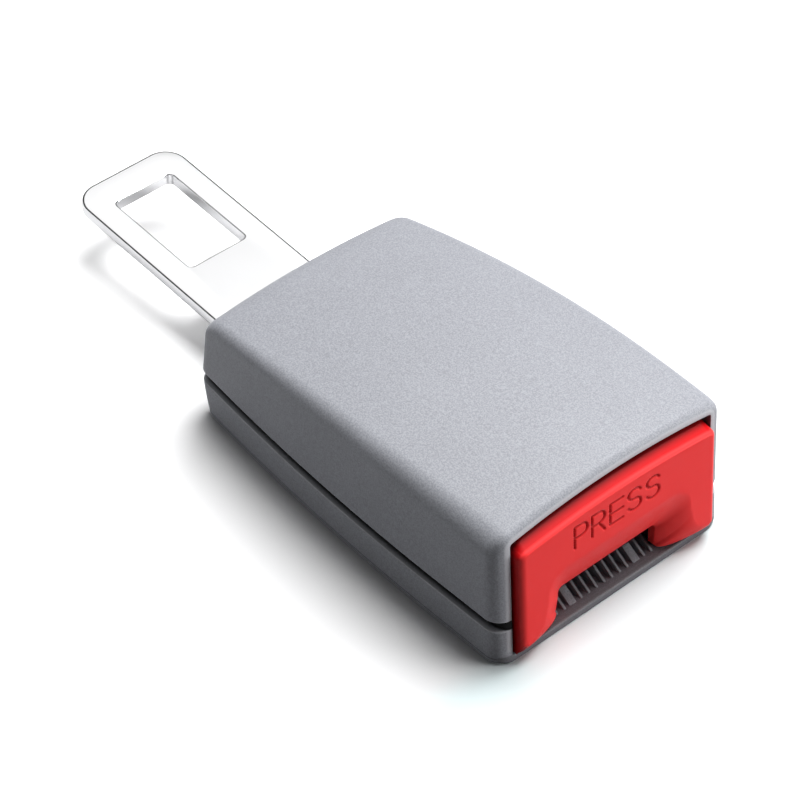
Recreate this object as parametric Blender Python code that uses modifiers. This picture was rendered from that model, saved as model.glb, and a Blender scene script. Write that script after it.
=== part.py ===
"""Seat belt extender: a plated blade riveted into a buckle with a red push button.

+X runs from the blade's round end to the button, +Y across, +Z up. The housing
stands on z = 0 and the part is centred along X and Y. All sizes are in metres.
"""
import math

import bmesh
import bpy
from mathutils import Matrix, Vector

# Overall sizes
OVERALL_LENGTH = 0.1248
FIT_GAP = 0.0003
SLIDE_GAP = 0.0004
CUT_MARGIN = 0.002

# Housing, shared by both covers
HOUSING_LENGTH = 0.07695
HOUSING_HALF_WIDTH = 0.02471
SIDE_STRAIGHT_LENGTH = 0.0153
SIDE_ARC_RADIUS = 0.481
FRONT_LEAN = 0.072
REAR_LEAN = 0.147
REAR_UNDERCUT = 0.0021
REAR_CORNER_RADIUS = 0.0026
FRONT_CORNER_RADIUS = 0.0032
BASE_EDGE_RADIUS = 0.0013
LIP_EDGE_RADIUS = 0.0003
EDGE_BREAK = 0.0003
LEAST_RADIUS = 0.0002
WALL = 0.0024
RIM_WALL = 0.0031
RIM_WALL_REACH = 0.012
FLOOR = 0.0014
ROOF = 0.0017
ROOF_FILLET = 0.0008
PARTING_HEIGHT = 0.0072
GROOVE_WIDTH = 0.0018
GROOVE_DEPTH = 0.0013
RABBET_RISE = 0.0035
UPPER_EDGE = PARTING_HEIGHT + GROOVE_WIDTH

# Ends of the housing and the button's face, as they meet the floor
BUTTON_PROUD = 0.00184
BUTTON_FACE_BOTTOM = 0.0029
FACE_X = OVERALL_LENGTH / 2 + FRONT_LEAN * BUTTON_FACE_BOTTOM
RIM_X = FACE_X - BUTTON_PROUD
REAR_X = RIM_X - HOUSING_LENGTH
BUTTON_HALF_WIDTH = HOUSING_HALF_WIDTH - RIM_WALL - SLIDE_GAP

# Arched top of the housing
TOP_FRONT_HEIGHT = 0.02768
TOP_REAR_HEIGHT = 0.02255
TOP_BULGE = 0.0025
CROWN_DROP = 0.00175
CROWN_SPAN = 0.022
TOP_REAR_RADIUS = 0.0049
TOP_SIDE_RADIUS_FRONT = 0.0034
TOP_SIDE_RADIUS_REAR = 0.0017
TOP_FRONT_RADIUS = 0.0015

# Blade, measured along itself from the housing's rear face
BLADE_PITCH = math.radians(4.5)
BLADE_EXIT_HEIGHT = 0.00834
BLADE_THICKNESS = 0.0026
BLADE_WIDTH = 0.022
BLADE_END_RADIUS = 0.0045
BLADE_ROOT_LENGTH = 0.0272
BLADE_INNER_RADIUS = 0.001
BLADE_EDGE_BREAK = 0.00025
WINDOW_INSET = 0.0061
WINDOW_LENGTH = 0.0207
WINDOW_WIDTH = 0.01244
WINDOW_RADIUS = 0.001
RIVET_REACH = 0.0092
RIVET_Y = 0.006
RIVET_DIAMETER = 0.005
RIVET_HEAD_DIAMETER = 0.0078
RIVET_HEAD_HEIGHT = 0.0009
RIVET_HEAD_ROUNDING = 0.0006
BLADE_SLOPE = math.tan(BLADE_PITCH)
BLADE_DEPTH = BLADE_THICKNESS / math.cos(BLADE_PITCH)

# Arms of the button and the guides between them and the frame
ARM_INSET = 0.0015
ARM_WIDTH = 0.002
ARM_INNER_Y = BUTTON_HALF_WIDTH - ARM_INSET - ARM_WIDTH
ARM_Y = ARM_INNER_Y + ARM_WIDTH / 2
ARM_REAR_SETBACK = 0.0331
ARM_REAR_X = RIM_X - ARM_REAR_SETBACK
ARM_BOTTOM = 0.007
ARM_TOP = 0.0125
ARM_GUIDE_GAP = 0.0005
GUIDE_WIDTH = 0.001
GUIDE_HEIGHT = 0.005
GUIDE_REAR_SETBACK = 0.0448
GUIDE_REAR_X = RIM_X - GUIDE_REAR_SETBACK
GUIDE_FRONT_SETBACK = 0.0168
GUIDE_FRONT_X = RIM_X - GUIDE_FRONT_SETBACK

# Buckle frame
FRAME_THICKNESS = 0.0015
FRAME_BASE = FLOOR + FIT_GAP
FRAME_TOP = FRAME_BASE + FRAME_THICKNESS
FRAME_HALF_WIDTH = ARM_INNER_Y - ARM_GUIDE_GAP - GUIDE_WIDTH - FIT_GAP
FRAME_REAR_HALF_WIDTH = 0.011
FRAME_REAR_REACH = 0.0038
FRAME_REAR_X = REAR_X + FRAME_REAR_REACH
FRAME_SHOULDER_REACH = 0.0192
FRAME_SHOULDER_X = REAR_X + FRAME_SHOULDER_REACH
FRAME_WALL_REAR_REACH = 0.0222
FRAME_WALL_REAR_X = REAR_X + FRAME_WALL_REAR_REACH
FRAME_BEND_X = REAR_X + (BLADE_EXIT_HEIGHT - BLADE_DEPTH - FIT_GAP - FRAME_TOP) / BLADE_SLOPE
FRAME_FRONT_SETBACK = 0.0083
FRAME_FRONT_X = RIM_X - FRAME_FRONT_SETBACK
FRAME_FRONT_RADIUS = 0.002
FRAME_WALL_TOP = 0.017
FRAME_WALL_FRONT_SETBACK = 0.0208
FRAME_WALL_FRONT_X = RIM_X - FRAME_WALL_FRONT_SETBACK
FRAME_WALL_RADIUS = 0.003
SPRING_TAB_PAST_BEND = 0.0004
SPRING_TAB_X = FRAME_BEND_X + SPRING_TAB_PAST_BEND
SPRING_TAB_HALF_WIDTH = 0.004
SPRING_TAB_RISE = 0.005

# Latch, its pin and the lock bar
PIN_SETBACK = 0.0438
PIN_X = RIM_X - PIN_SETBACK
PIN_HEIGHT = 0.013
PIN_DIAMETER = 0.004
PIN_OVERHANG = 0.0005
LATCH_HALF_WIDTH = 0.010
LATCH_EYE_RADIUS = 0.0034
LATCH_LIFT = math.radians(9.0)
LATCH_FRONT_SETBACK = 0.0133
LATCH_FRONT_X = RIM_X - LATCH_FRONT_SETBACK
LATCH_BLOCK_REAR_SETBACK = 0.0242
LATCH_BLOCK_REAR_X = RIM_X - LATCH_BLOCK_REAR_SETBACK
LATCH_BLOCK_HEIGHT = 0.0083
LATCH_RAMP_TOP = 0.0128
LATCH_RAMP_SLOPE = 0.45
LATCH_RAMP_REAR_SETBACK = 0.0338
LATCH_RAMP_REAR_X = RIM_X - LATCH_RAMP_REAR_SETBACK
LATCH_TOP = PIN_HEIGHT + LATCH_EYE_RADIUS
NOSE_REAR_SETBACK = 0.0175
NOSE_REAR_X = RIM_X - NOSE_REAR_SETBACK
NOSE_LENGTH = 0.0027
NOSE_TIP_LENGTH = 0.0009
NOSE_HALF_WIDTH = 0.0055
LOCK_BAR_DIAMETER = 0.003
LOCK_BAR_SETBACK = 0.0268
LOCK_BAR_X = RIM_X - LOCK_BAR_SETBACK
LOCK_BAR_HEIGHT = 0.0095
PRESS_TRAVEL = 0.004

# Release button
BUTTON_SIDE_WALL = 0.0016
BUTTON_REAR_SETBACK = 0.0148
BUTTON_REAR_X = RIM_X - BUTTON_REAR_SETBACK
BUTTON_BACK_BEHIND_FACE = 0.0050
BUTTON_BACK_X = FACE_X - BUTTON_BACK_BEHIND_FACE
BUTTON_FOOT_BEHIND_FACE = 0.0017
BUTTON_FOOT_X = FACE_X - BUTTON_FOOT_BEHIND_FACE
BUTTON_BOTTOM = FLOOR + FIT_GAP
CREASE_BELOW_ROOF = 0.00388
CREASE_HEIGHT = TOP_FRONT_HEIGHT - CREASE_BELOW_ROOF
CREASE_RADIUS = 0.0005
BEVEL_LENGTH = 0.0034
BEVEL_RISE = 0.0016
BUTTON_CROWN_DROP = 0.0014
BUTTON_EDGE_RADIUS = 0.0012
SKIRT_THICKNESS = 0.0023
MOUTH_TOP = 0.00745
MOUTH_HALF_WIDTH = 0.01067
MOUTH_CORNER_RADIUS = 0.001
MOUTH_FLARE_HALF_WIDTH = 0.0127
FUNNEL_DEPTH = 0.003
FUNNEL_TOP = 0.015
FUNNEL_CORNER_RADIUS = 0.0068
FUNNEL_INSET = 0.0052
FUNNEL_HALF_WIDTH = BUTTON_HALF_WIDTH - FUNNEL_INSET
FUNNEL_TOP_INSET = 0.0045
FUNNEL_TOP_HALF_WIDTH = FUNNEL_HALF_WIDTH - FUNNEL_TOP_INSET
FUNNEL_FOOT_INSET = 0.0020
FUNNEL_FOOT_HALF_WIDTH = BUTTON_HALF_WIDTH - FUNNEL_FOOT_INSET
FUNNEL_FOOT_RISE = 0.0024

# Comb of ribs on the lower cover's floor
RIB_FOOT_SETBACK = 0.00185
RIB_FOOT_X = RIM_X - RIB_FOOT_SETBACK
RIB_RAMP_LENGTH = 0.0026
RIB_WIDTH = 0.0005
WIDE_RIB_WIDTH = 0.0015
RIB_PITCH = 0.00169
WIDE_RIB_Y = 0.007
INNER_RIB_COUNT = 3
OUTER_RIB_Y = 0.00875
OUTER_RIB_COUNT = 3

# Posts, spring seats and bosses in the covers
POST_REACH = 0.0102
POST_X = REAR_X + POST_REACH
POST_Y = 0.015
POST_DIAMETER = 0.0044
POST_TOP = 0.0104
POST_PIN_DIAMETER = 0.0024
POST_PIN_LENGTH = 0.003
BOSS_DIAMETER = 0.0054
SPRING_SEAT_SETBACK = 0.0503
SPRING_SEAT_X = RIM_X - SPRING_SEAT_SETBACK
SPRING_SEAT_LENGTH = 0.0025
SPRING_SEAT_TOP = 0.0125
SPRING_SEAT_HALF_WIDTH = 0.0019
LATCH_BOSS_SETBACK = 0.0308
LATCH_BOSS_X = RIM_X - LATCH_BOSS_SETBACK
LATCH_BOSS_DIAMETER = 0.008
LATCH_BOSS_BOTTOM = 0.0215
LATCH_SPIGOT_DIAMETER = 0.003
LATCH_SPIGOT_LENGTH = 0.0015

# Ejector
EJECTOR_LENGTH = 0.012
EJECTOR_REAR_SETBACK = 0.0305
EJECTOR_REAR_X = RIM_X - EJECTOR_REAR_SETBACK
EJECTOR_FRONT_X = EJECTOR_REAR_X + EJECTOR_LENGTH
EJECTOR_BOTTOM = FRAME_TOP + FIT_GAP
EJECTOR_HALF_WIDTH = 0.009
EJECTOR_HEIGHT = 0.0038
EJECTOR_ROD_DIAMETER = 0.002
EJECTOR_ROD_LENGTH = 0.0043
EJECTOR_ROD_HEIGHT = 0.0054
EJECTOR_FOOT_SETBACK = 0.0278
EJECTOR_FOOT_X = RIM_X - EJECTOR_FOOT_SETBACK
EJECTOR_FOOT_LENGTH = 0.006
EJECTOR_FOOT_HALF_WIDTH = 0.0012
EJECT_TRAVEL = 0.008

# Springs
EJECTOR_SPRING_RADIUS = 0.0017
EJECTOR_SPRING_WIRE = 0.0006
EJECTOR_SPRING_TURNS = 9
BUTTON_SPRING_RADIUS = 0.0016
BUTTON_SPRING_WIRE = 0.00055
BUTTON_SPRING_TURNS = 8
LATCH_SPRING_RADIUS = 0.0026
LATCH_SPRING_WIRE = 0.0006
LATCH_SPRING_TURNS = 4
POINTS_PER_TURN = 11
CLOSED_PITCH_IN_WIRES = 1.35


def remove_all():
    """Clears the scene of its objects."""
    for old in list(bpy.data.objects):
        bpy.data.objects.remove(old, do_unlink=True)


def new_collection(name):
    collection = bpy.data.collections.new(name)
    bpy.context.scene.collection.children.link(collection)
    return collection


def new_material(name, colour, roughness, metallic=0.0):
    material = bpy.data.materials.new(name)
    material.use_nodes = True
    shader = material.node_tree.nodes["Principled BSDF"]
    shader.inputs["Base Color"].default_value = (*colour, 1.0)
    shader.inputs["Roughness"].default_value = roughness
    shader.inputs["Metallic"].default_value = metallic
    return material


remove_all()
PARTS = new_collection("seat_belt_extender")
CUTTERS = new_collection("cutters")

ROOT = bpy.data.objects.new("extender_base", None)
PARTS.objects.link(ROOT)

BLADE_LINE = bpy.data.objects.new("blade_line", None)
BLADE_LINE.location = (REAR_X, 0.0, BLADE_EXIT_HEIGHT)
BLADE_LINE.rotation_euler = (0.0, BLADE_PITCH, 0.0)
BLADE_LINE.parent = ROOT
PARTS.objects.link(BLADE_LINE)
bpy.context.view_layer.update()


def place(part, origin, parent=ROOT):
    part.location = origin
    part.parent = parent


def object_from(mesh_data, name, material, origin=(0, 0, 0), parent=ROOT):
    """Makes a part from a bmesh modelled round its own origin."""
    mesh = bpy.data.meshes.new(name)
    bmesh.ops.recalc_face_normals(mesh_data, faces=mesh_data.faces)
    mesh_data.to_mesh(mesh)
    mesh_data.free()
    mesh.materials.append(material)
    part = bpy.data.objects.new(name, mesh)
    PARTS.objects.link(part)
    place(part, origin, parent)
    return part


def smooth(part, degrees=32):
    part.data.shade_smooth()
    part.data.set_sharp_from_angle(angle=math.radians(degrees))


def tool_from(mesh_data, name, origin=(0, 0, 0), parent=ROOT):
    """Makes a hidden shape that is cut from a part or joined to it."""
    mesh = bpy.data.meshes.new(name)
    bmesh.ops.recalc_face_normals(mesh_data, faces=mesh_data.faces)
    mesh_data.to_mesh(mesh)
    mesh_data.free()
    tool = bpy.data.objects.new(name, mesh)
    CUTTERS.objects.link(tool)
    hide(tool)
    place(tool, origin, parent)
    return tool


def hide(tool):
    tool.hide_render = True
    tool.display_type = "WIRE"


def combine(part, tool, operation):
    boolean = part.modifiers.new(tool.name, "BOOLEAN")
    boolean.operation = operation
    boolean.object = tool


def bevel(part, width, segments=2):
    rounding = part.modifiers.new("rounded edges", "BEVEL")
    rounding.width = width
    rounding.segments = segments
    rounding.limit_method = "ANGLE"


def add_box(mesh_data, low, high):
    """Adds a box between two corners."""
    low, high = Vector(low), Vector(high)
    centre = Matrix.Translation((low + high) / 2)
    size = Matrix.Diagonal((*(high - low), 1.0))
    bmesh.ops.create_cube(mesh_data, size=1.0, matrix=centre @ size)


def add_rod(mesh_data, centre, radius, length, axis="Z", segments=24):
    """Adds a closed cylinder centred on a point."""
    turn = {"X": Matrix.Rotation(math.pi / 2, 4, "Y"),
            "Y": Matrix.Rotation(math.pi / 2, 4, "X"),
            "Z": Matrix.Identity(4)}[axis]
    bmesh.ops.create_cone(mesh_data, cap_ends=True, segments=segments, radius1=radius,
                          radius2=radius, depth=length,
                          matrix=Matrix.Translation(centre) @ turn)


def rounded(corners, steps=5):
    """Turns corners given as (x, y, radius) into an outline with arcs."""
    outline = []
    for index, (x, y, radius) in enumerate(corners):
        here = Vector((x, y))
        back = Vector(corners[index - 1][:2]) - here
        ahead = Vector(corners[(index + 1) % len(corners)][:2]) - here
        if radius == 0.0:
            outline.append((x, y))
            continue
        half = back.angle(ahead) / 2
        reach = radius / math.tan(half)
        start = here + back.normalized() * reach
        end = here + ahead.normalized() * reach
        middle = here + (back.normalized() + ahead.normalized()).normalized() * radius / math.sin(half)
        first, last = start - middle, end - middle
        turn = first.angle_signed(last)
        for step in range(steps + 1):
            arm = Matrix.Rotation(-turn * step / steps, 2) @ first
            outline.append(tuple(middle + arm))
    return outline


def circle(x, y, radius, points=24):
    return [(x + radius * math.cos(2 * math.pi * k / points),
             y + radius * math.sin(2 * math.pi * k / points)) for k in range(points)]


def plate_mesh(name, outlines, thickness):
    """A flat plate about its own middle plane, with any inner outlines as holes."""
    curve = bpy.data.curves.new(name, "CURVE")
    curve.dimensions = "2D"
    curve.fill_mode = "BOTH"
    curve.extrude = thickness / 2
    for outline in outlines:
        spline = curve.splines.new("POLY")
        spline.points.add(len(outline) - 1)
        for point, (x, y) in zip(spline.points, outline):
            point.co = (x, y, 0.0, 1.0)
        spline.use_cyclic_u = True
    guide = bpy.data.objects.new(name, curve)
    CUTTERS.objects.link(guide)
    bpy.context.view_layer.update()
    evaluated = guide.evaluated_get(bpy.context.evaluated_depsgraph_get())
    flat = bpy.data.meshes.new_from_object(evaluated)
    mesh_data = bmesh.new()
    mesh_data.from_mesh(flat)
    bmesh.ops.remove_doubles(mesh_data, verts=mesh_data.verts, dist=0.000005)
    bpy.data.objects.remove(guide, do_unlink=True)
    bpy.data.curves.remove(curve)
    bpy.data.meshes.remove(flat)
    return mesh_data


def side_plate(name, outlines, width, middle_y=0.0):
    """A plate whose outline is given in X and Z and whose width runs along Y."""
    mesh_data = plate_mesh(name, outlines, width)
    upright = Matrix.Translation((0, middle_y, 0)) @ Matrix.Rotation(math.pi / 2, 4, "X")
    mesh_data.transform(upright)
    return mesh_data


def shifted(mesh_data, origin):
    """Moves a shape modelled in place back round its part's origin."""
    mesh_data.transform(Matrix.Translation(-Vector(origin)))
    return mesh_data


def loft(rings):
    """Joins closed rings of equal point count into a skin with both ends shut."""
    mesh_data = bmesh.new()
    rows = [[mesh_data.verts.new(point) for point in ring] for ring in rings]
    count = len(rows[0])
    for lower, upper in zip(rows, rows[1:]):
        for k in range(count):
            n = (k + 1) % count
            mesh_data.faces.new((lower[k], lower[n], upper[n], upper[k]))
    mesh_data.faces.new(rows[0])
    mesh_data.faces.new(rows[-1])
    return mesh_data


def half_width_at(x):
    """Half width of the housing: straight near the rim, then one wide arc."""
    behind = max(RIM_X - SIDE_STRAIGHT_LENGTH - x, 0.0)
    return HOUSING_HALF_WIDTH - SIDE_ARC_RADIUS + math.sqrt(SIDE_ARC_RADIUS ** 2 - behind ** 2)


def wall_at(x):
    """Side wall, thicker near the rim."""
    share = min(max((x - RIM_X) / RIM_WALL_REACH + 1.0, 0.0), 1.0)
    return WALL + (RIM_WALL - WALL) * share * share * (3 - 2 * share)


def corner_arc(centre_x, centre_y, radius, start, steps):
    """A quarter turn of points, clockwise from a start angle."""
    points = []
    for k in range(steps):
        angle = start - math.pi / 2 * k / steps
        points.append((centre_x + radius * math.cos(angle), centre_y + radius * math.sin(angle)))
    return points


def plan_outline(inset, front_x=None, side_inset=None):
    """Outline of the housing seen from above, moved inwards by an inset.

    The front may stand elsewhere, and the sides may have an inset of their own
    that is worked out from x.
    """
    if front_x is None:
        front_x = RIM_X - inset
    if side_inset is None:
        def side_inset(x):
            return inset
    rear_x = REAR_X + inset
    rear_radius = max(REAR_CORNER_RADIUS - inset, LEAST_RADIUS)
    front_radius = max(FRONT_CORNER_RADIUS - inset, LEAST_RADIUS)
    side_start = rear_x + rear_radius
    side_end = front_x - front_radius
    rear_y = half_width_at(side_start) - side_inset(side_start) - rear_radius
    front_y = half_width_at(side_end) - side_inset(side_end) - front_radius
    half = [(rear_x, rear_y * k / 4) for k in range(4)]
    half += corner_arc(side_start, rear_y, rear_radius, math.pi, 5)
    for k in range(14):
        x = side_start + (side_end - side_start) * k / 14
        half.append((x, half_width_at(x) - side_inset(x)))
    half += corner_arc(side_end, front_y, front_radius, math.pi / 2, 6)
    half += [(front_x, front_y * (4 - k) / 4) for k in range(5)]
    return half + [(x, -y) for x, y in reversed(half[1:-1])]


def rear_shift(z):
    """How far the rear face stands forward of its widest point at a height."""
    if z > UPPER_EDGE:
        return REAR_LEAN * (z - UPPER_EDGE)
    return REAR_UNDERCUT * ((UPPER_EDGE - z) / UPPER_EDGE) ** 2


def lean(x, y, z):
    """Leans the upright housing's rear and front faces to their true angles."""
    share = (x - REAR_X) / HOUSING_LENGTH
    moved = x + (1 - share) * rear_shift(z) - share * FRONT_LEAN * z
    return (moved, y * half_width_at(moved) / half_width_at(x), z)


def drop(distance, radius):
    """How far a rounded edge falls below its flat at a distance in from the edge."""
    reach = min(max(radius - distance, 0.0), radius)
    return radius - math.sqrt(radius ** 2 - reach ** 2)


def ridge_height(x, y):
    """Height of the arched and crowned top before its edges are rounded."""
    behind = (RIM_X - x) / HOUSING_LENGTH
    line = TOP_FRONT_HEIGHT + (TOP_REAR_HEIGHT - TOP_FRONT_HEIGHT) * behind
    return line + 4 * TOP_BULGE * behind * (1 - behind) - CROWN_DROP * (y / CROWN_SPAN) ** 2


def outer_drop(x, y):
    """Rounding of the top's rear, side and front edges."""
    behind = min(max((RIM_X - x) / HOUSING_LENGTH, 0.0), 1.0)
    side_radius = TOP_SIDE_RADIUS_FRONT + (TOP_SIDE_RADIUS_REAR - TOP_SIDE_RADIUS_FRONT) * behind
    return (drop(half_width_at(x) - abs(y), side_radius)
            + drop(x - REAR_X, TOP_REAR_RADIUS)
            + drop(RIM_X - x, TOP_FRONT_RADIUS))


def top_point(x, y, lower_by):
    """A point on the top, or below it by a given amount, after the lean."""
    z = TOP_REAR_HEIGHT
    for _ in range(3):
        moved = lean(x, y, z)
        z = ridge_height(moved[0], moved[1]) - lower_by
    return lean(x, y, z)


def ring_at(outline, z):
    return [lean(x, y, z) for x, y in outline]


def centred(outline, share):
    """Shrinks an outline towards the middle of the housing."""
    middle = (REAR_X + RIM_X) / 2
    return [(middle + (x - middle) * share, y * share) for x, y in outline]


def cavity(bottom, front_x, roof=ROOF):
    """The room inside both covers, open past the rim at the front."""
    walls = plan_outline(WALL, front_x, wall_at)
    rings = [ring_at(walls, bottom)]
    rings.append([top_point(x, y, roof + ROOF_FILLET) for x, y in walls])
    inner = plan_outline(WALL + ROOF_FILLET, front_x, lambda x: wall_at(x) + ROOF_FILLET)
    rings.append([top_point(x, y, roof) for x, y in inner])
    for share in (0.75, 0.5, 0.25, 0.05):
        rings.append([top_point(x, y, roof) for x, y in centred(inner, share)])
    return loft(rings)


def boss_top(x, y, radius):
    """Height at which a boss ends inside the roof all the way round."""
    lowest_outside = ridge_height(x - radius, y + radius)
    highest_inside = ridge_height(x + radius, y - radius) - ROOF
    return (lowest_outside + highest_inside) / 2


def make_upper_cover(material):
    """Grey moulded cover with the arched roof, a rabbet and three bosses."""
    rings = [ring_at(plan_outline(EDGE_BREAK), UPPER_EDGE)]
    rings.append(ring_at(plan_outline(0.0), UPPER_EDGE + EDGE_BREAK))
    for k in range(8):
        outline = plan_outline(TOP_REAR_RADIUS * (1 - math.cos(math.pi / 2 * k / 7)))
        rings.append([top_point(x, y, outer_drop(x, y)) for x, y in outline])
    flat = plan_outline(TOP_REAR_RADIUS)
    for share in (0.8, 0.55, 0.3, 0.05):
        rings.append([top_point(x, y, 0.0) for x, y in centred(flat, share)])
    cover = object_from(loft(rings), "upper_cover", material)
    room = tool_from(cavity(PARTING_HEIGHT, RIM_X + CUT_MARGIN * 2), "upper room")
    combine(cover, room, "DIFFERENCE")

    skin = GROOVE_DEPTH - FIT_GAP
    rabbet_top = PARTING_HEIGHT + RABBET_RISE + FIT_GAP
    seat = loft([ring_at(plan_outline(skin), z) for z in (PARTING_HEIGHT, rabbet_top)])
    combine(cover, tool_from(seat, "upper rabbet"), "DIFFERENCE")

    boss_bottom = POST_TOP + FIT_GAP
    bosses = bmesh.new()
    top = boss_top(POST_X, POST_Y, BOSS_DIAMETER / 2)
    for side in (-1, 1):
        add_rod(bosses, (POST_X, side * POST_Y, (boss_bottom + top) / 2), BOSS_DIAMETER / 2,
                top - boss_bottom)
    top = boss_top(LATCH_BOSS_X, 0.0, LATCH_BOSS_DIAMETER / 2)
    add_rod(bosses, (LATCH_BOSS_X, 0, (LATCH_BOSS_BOTTOM + top) / 2), LATCH_BOSS_DIAMETER / 2,
            top - LATCH_BOSS_BOTTOM)
    combine(cover, tool_from(bosses, "upper bosses"), "UNION")

    spigot = bmesh.new()
    add_rod(spigot, (LATCH_BOSS_X, 0, LATCH_BOSS_BOTTOM), LATCH_SPIGOT_DIAMETER / 2,
            LATCH_SPIGOT_LENGTH * 2)
    combine(cover, tool_from(spigot, "latch spring spigot"), "UNION")

    sockets = bmesh.new()
    for side in (-1, 1):
        depth = POST_PIN_LENGTH + 2 * FIT_GAP
        add_rod(sockets, (POST_X, side * POST_Y, boss_bottom), POST_PIN_DIAMETER / 2 + FIT_GAP,
                depth * 2)
    combine(cover, tool_from(sockets, "boss sockets"), "DIFFERENCE")
    smooth(cover)
    return cover


def rib_places():
    """Each rib's middle and width, from one side of the comb to the other."""
    half = [(RIB_PITCH * k, RIB_WIDTH) for k in range(1, INNER_RIB_COUNT + 1)]
    half.append((WIDE_RIB_Y, WIDE_RIB_WIDTH))
    half += [(OUTER_RIB_Y + RIB_PITCH * k, RIB_WIDTH) for k in range(OUTER_RIB_COUNT)]
    places = [(0.0, RIB_WIDTH)]
    for y, width in half:
        places += [(y, width), (-y, width)]
    return places


def make_comb():
    """Ribs with ramped fronts that stand on the floor below the mouth."""
    rear = FRAME_FRONT_X + FIT_GAP * 2
    root = FLOOR / 2
    outline = [(rear, root), (RIB_FOOT_X, root), (RIB_FOOT_X, FLOOR),
               (RIB_FOOT_X - RIB_RAMP_LENGTH, FRAME_TOP), (rear, FRAME_TOP)]
    comb = bmesh.new()
    for y, width in rib_places():
        rib = side_plate("rib", [outline], width, y)
        mesh = bpy.data.meshes.new("rib")
        rib.to_mesh(mesh)
        rib.free()
        comb.from_mesh(mesh)
        bpy.data.meshes.remove(mesh)
    return comb


def make_lower_cover(material):
    """Grey moulded cover with the floor, rabbet wall, comb of ribs and posts."""
    rings = []
    for k in range(4):
        angle = math.pi / 2 * k / 3
        inset = BASE_EDGE_RADIUS * (1 - math.sin(angle))
        z = BASE_EDGE_RADIUS * (1 - math.cos(angle))
        front_x = RIM_X - LIP_EDGE_RADIUS * (1 - math.sin(angle))
        rings.append(ring_at(plan_outline(inset, front_x), z))
    rings.append(ring_at(plan_outline(0.0), (BASE_EDGE_RADIUS + PARTING_HEIGHT) / 2))
    rings.append(ring_at(plan_outline(0.0), PARTING_HEIGHT - EDGE_BREAK))
    rings.append(ring_at(plan_outline(EDGE_BREAK), PARTING_HEIGHT))
    rings.append(ring_at(plan_outline(GROOVE_DEPTH), PARTING_HEIGHT))
    rabbet_top = PARTING_HEIGHT + RABBET_RISE
    rings.append(ring_at(plan_outline(GROOVE_DEPTH), rabbet_top))
    cover = object_from(loft(rings), "lower_cover", material)

    high = rabbet_top + CUT_MARGIN
    room = plan_outline(WALL, RIM_X + CUT_MARGIN * 2, wall_at)
    room_block = loft([ring_at(room, FLOOR), ring_at(room, high)])
    combine(cover, tool_from(room_block, "lower room"), "DIFFERENCE")

    notch = bmesh.new()
    notch_half = BLADE_WIDTH / 2 + SLIDE_GAP
    notch_floor = BLADE_EXIT_HEIGHT - BLADE_DEPTH - BLADE_SLOPE * WALL - FIT_GAP
    add_box(notch, (REAR_X - CUT_MARGIN, -notch_half, notch_floor),
            (REAR_X + WALL * 2, notch_half, high))
    combine(cover, tool_from(notch, "blade notch"), "DIFFERENCE")

    posts = bmesh.new()
    root = FLOOR / 2
    guide_y = FRAME_HALF_WIDTH + FIT_GAP + GUIDE_WIDTH / 2
    for side in (-1, 1):
        add_rod(posts, (POST_X, side * POST_Y, (root + POST_TOP) / 2), POST_DIAMETER / 2,
                POST_TOP - root)
        add_box(posts, (GUIDE_REAR_X, side * guide_y - GUIDE_WIDTH / 2, root),
                (GUIDE_FRONT_X, side * guide_y + GUIDE_WIDTH / 2, GUIDE_HEIGHT))
        add_box(posts, (SPRING_SEAT_X, side * ARM_Y - SPRING_SEAT_HALF_WIDTH, root),
                (SPRING_SEAT_X + SPRING_SEAT_LENGTH, side * ARM_Y + SPRING_SEAT_HALF_WIDTH,
                 SPRING_SEAT_TOP))
    combine(cover, tool_from(posts, "posts and guides"), "UNION")

    pins = bmesh.new()
    for side in (-1, 1):
        add_rod(pins, (POST_X, side * POST_Y, POST_TOP), POST_PIN_DIAMETER / 2,
                POST_PIN_LENGTH * 2, segments=16)
    combine(cover, tool_from(pins, "post pins"), "UNION")
    combine(cover, tool_from(make_comb(), "comb"), "UNION")
    smooth(cover)
    return cover


def make_tongue_blade(material):
    """Plated steel plate with a round end, a window and two rivet holes."""
    reach = OVERALL_LENGTH / 2 + REAR_X - BLADE_THICKNESS * math.sin(BLADE_PITCH)
    end_x = -reach / math.cos(BLADE_PITCH)
    half = BLADE_WIDTH / 2
    outline = rounded([(end_x, -half, BLADE_END_RADIUS),
                       (BLADE_ROOT_LENGTH, -half, BLADE_INNER_RADIUS),
                       (BLADE_ROOT_LENGTH, half, BLADE_INNER_RADIUS),
                       (end_x, half, BLADE_END_RADIUS)], 8)
    near = end_x + WINDOW_INSET
    far = near + WINDOW_LENGTH
    gap = WINDOW_WIDTH / 2
    window = rounded([(near, -gap, WINDOW_RADIUS), (far, -gap, WINDOW_RADIUS),
                      (far, gap, WINDOW_RADIUS), (near, gap, WINDOW_RADIUS)])
    hole = RIVET_DIAMETER / 2 + FIT_GAP
    holes = [circle(RIVET_REACH, side * RIVET_Y, hole) for side in (-1, 1)]
    plate = plate_mesh("blade", [outline, window] + holes, BLADE_THICKNESS)
    plate.transform(Matrix.Translation((0, 0, -BLADE_THICKNESS / 2)))
    blade = object_from(plate, "tongue_blade", material, parent=BLADE_LINE)
    bevel(blade, BLADE_EDGE_BREAK)
    smooth(blade)
    return blade


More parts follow.
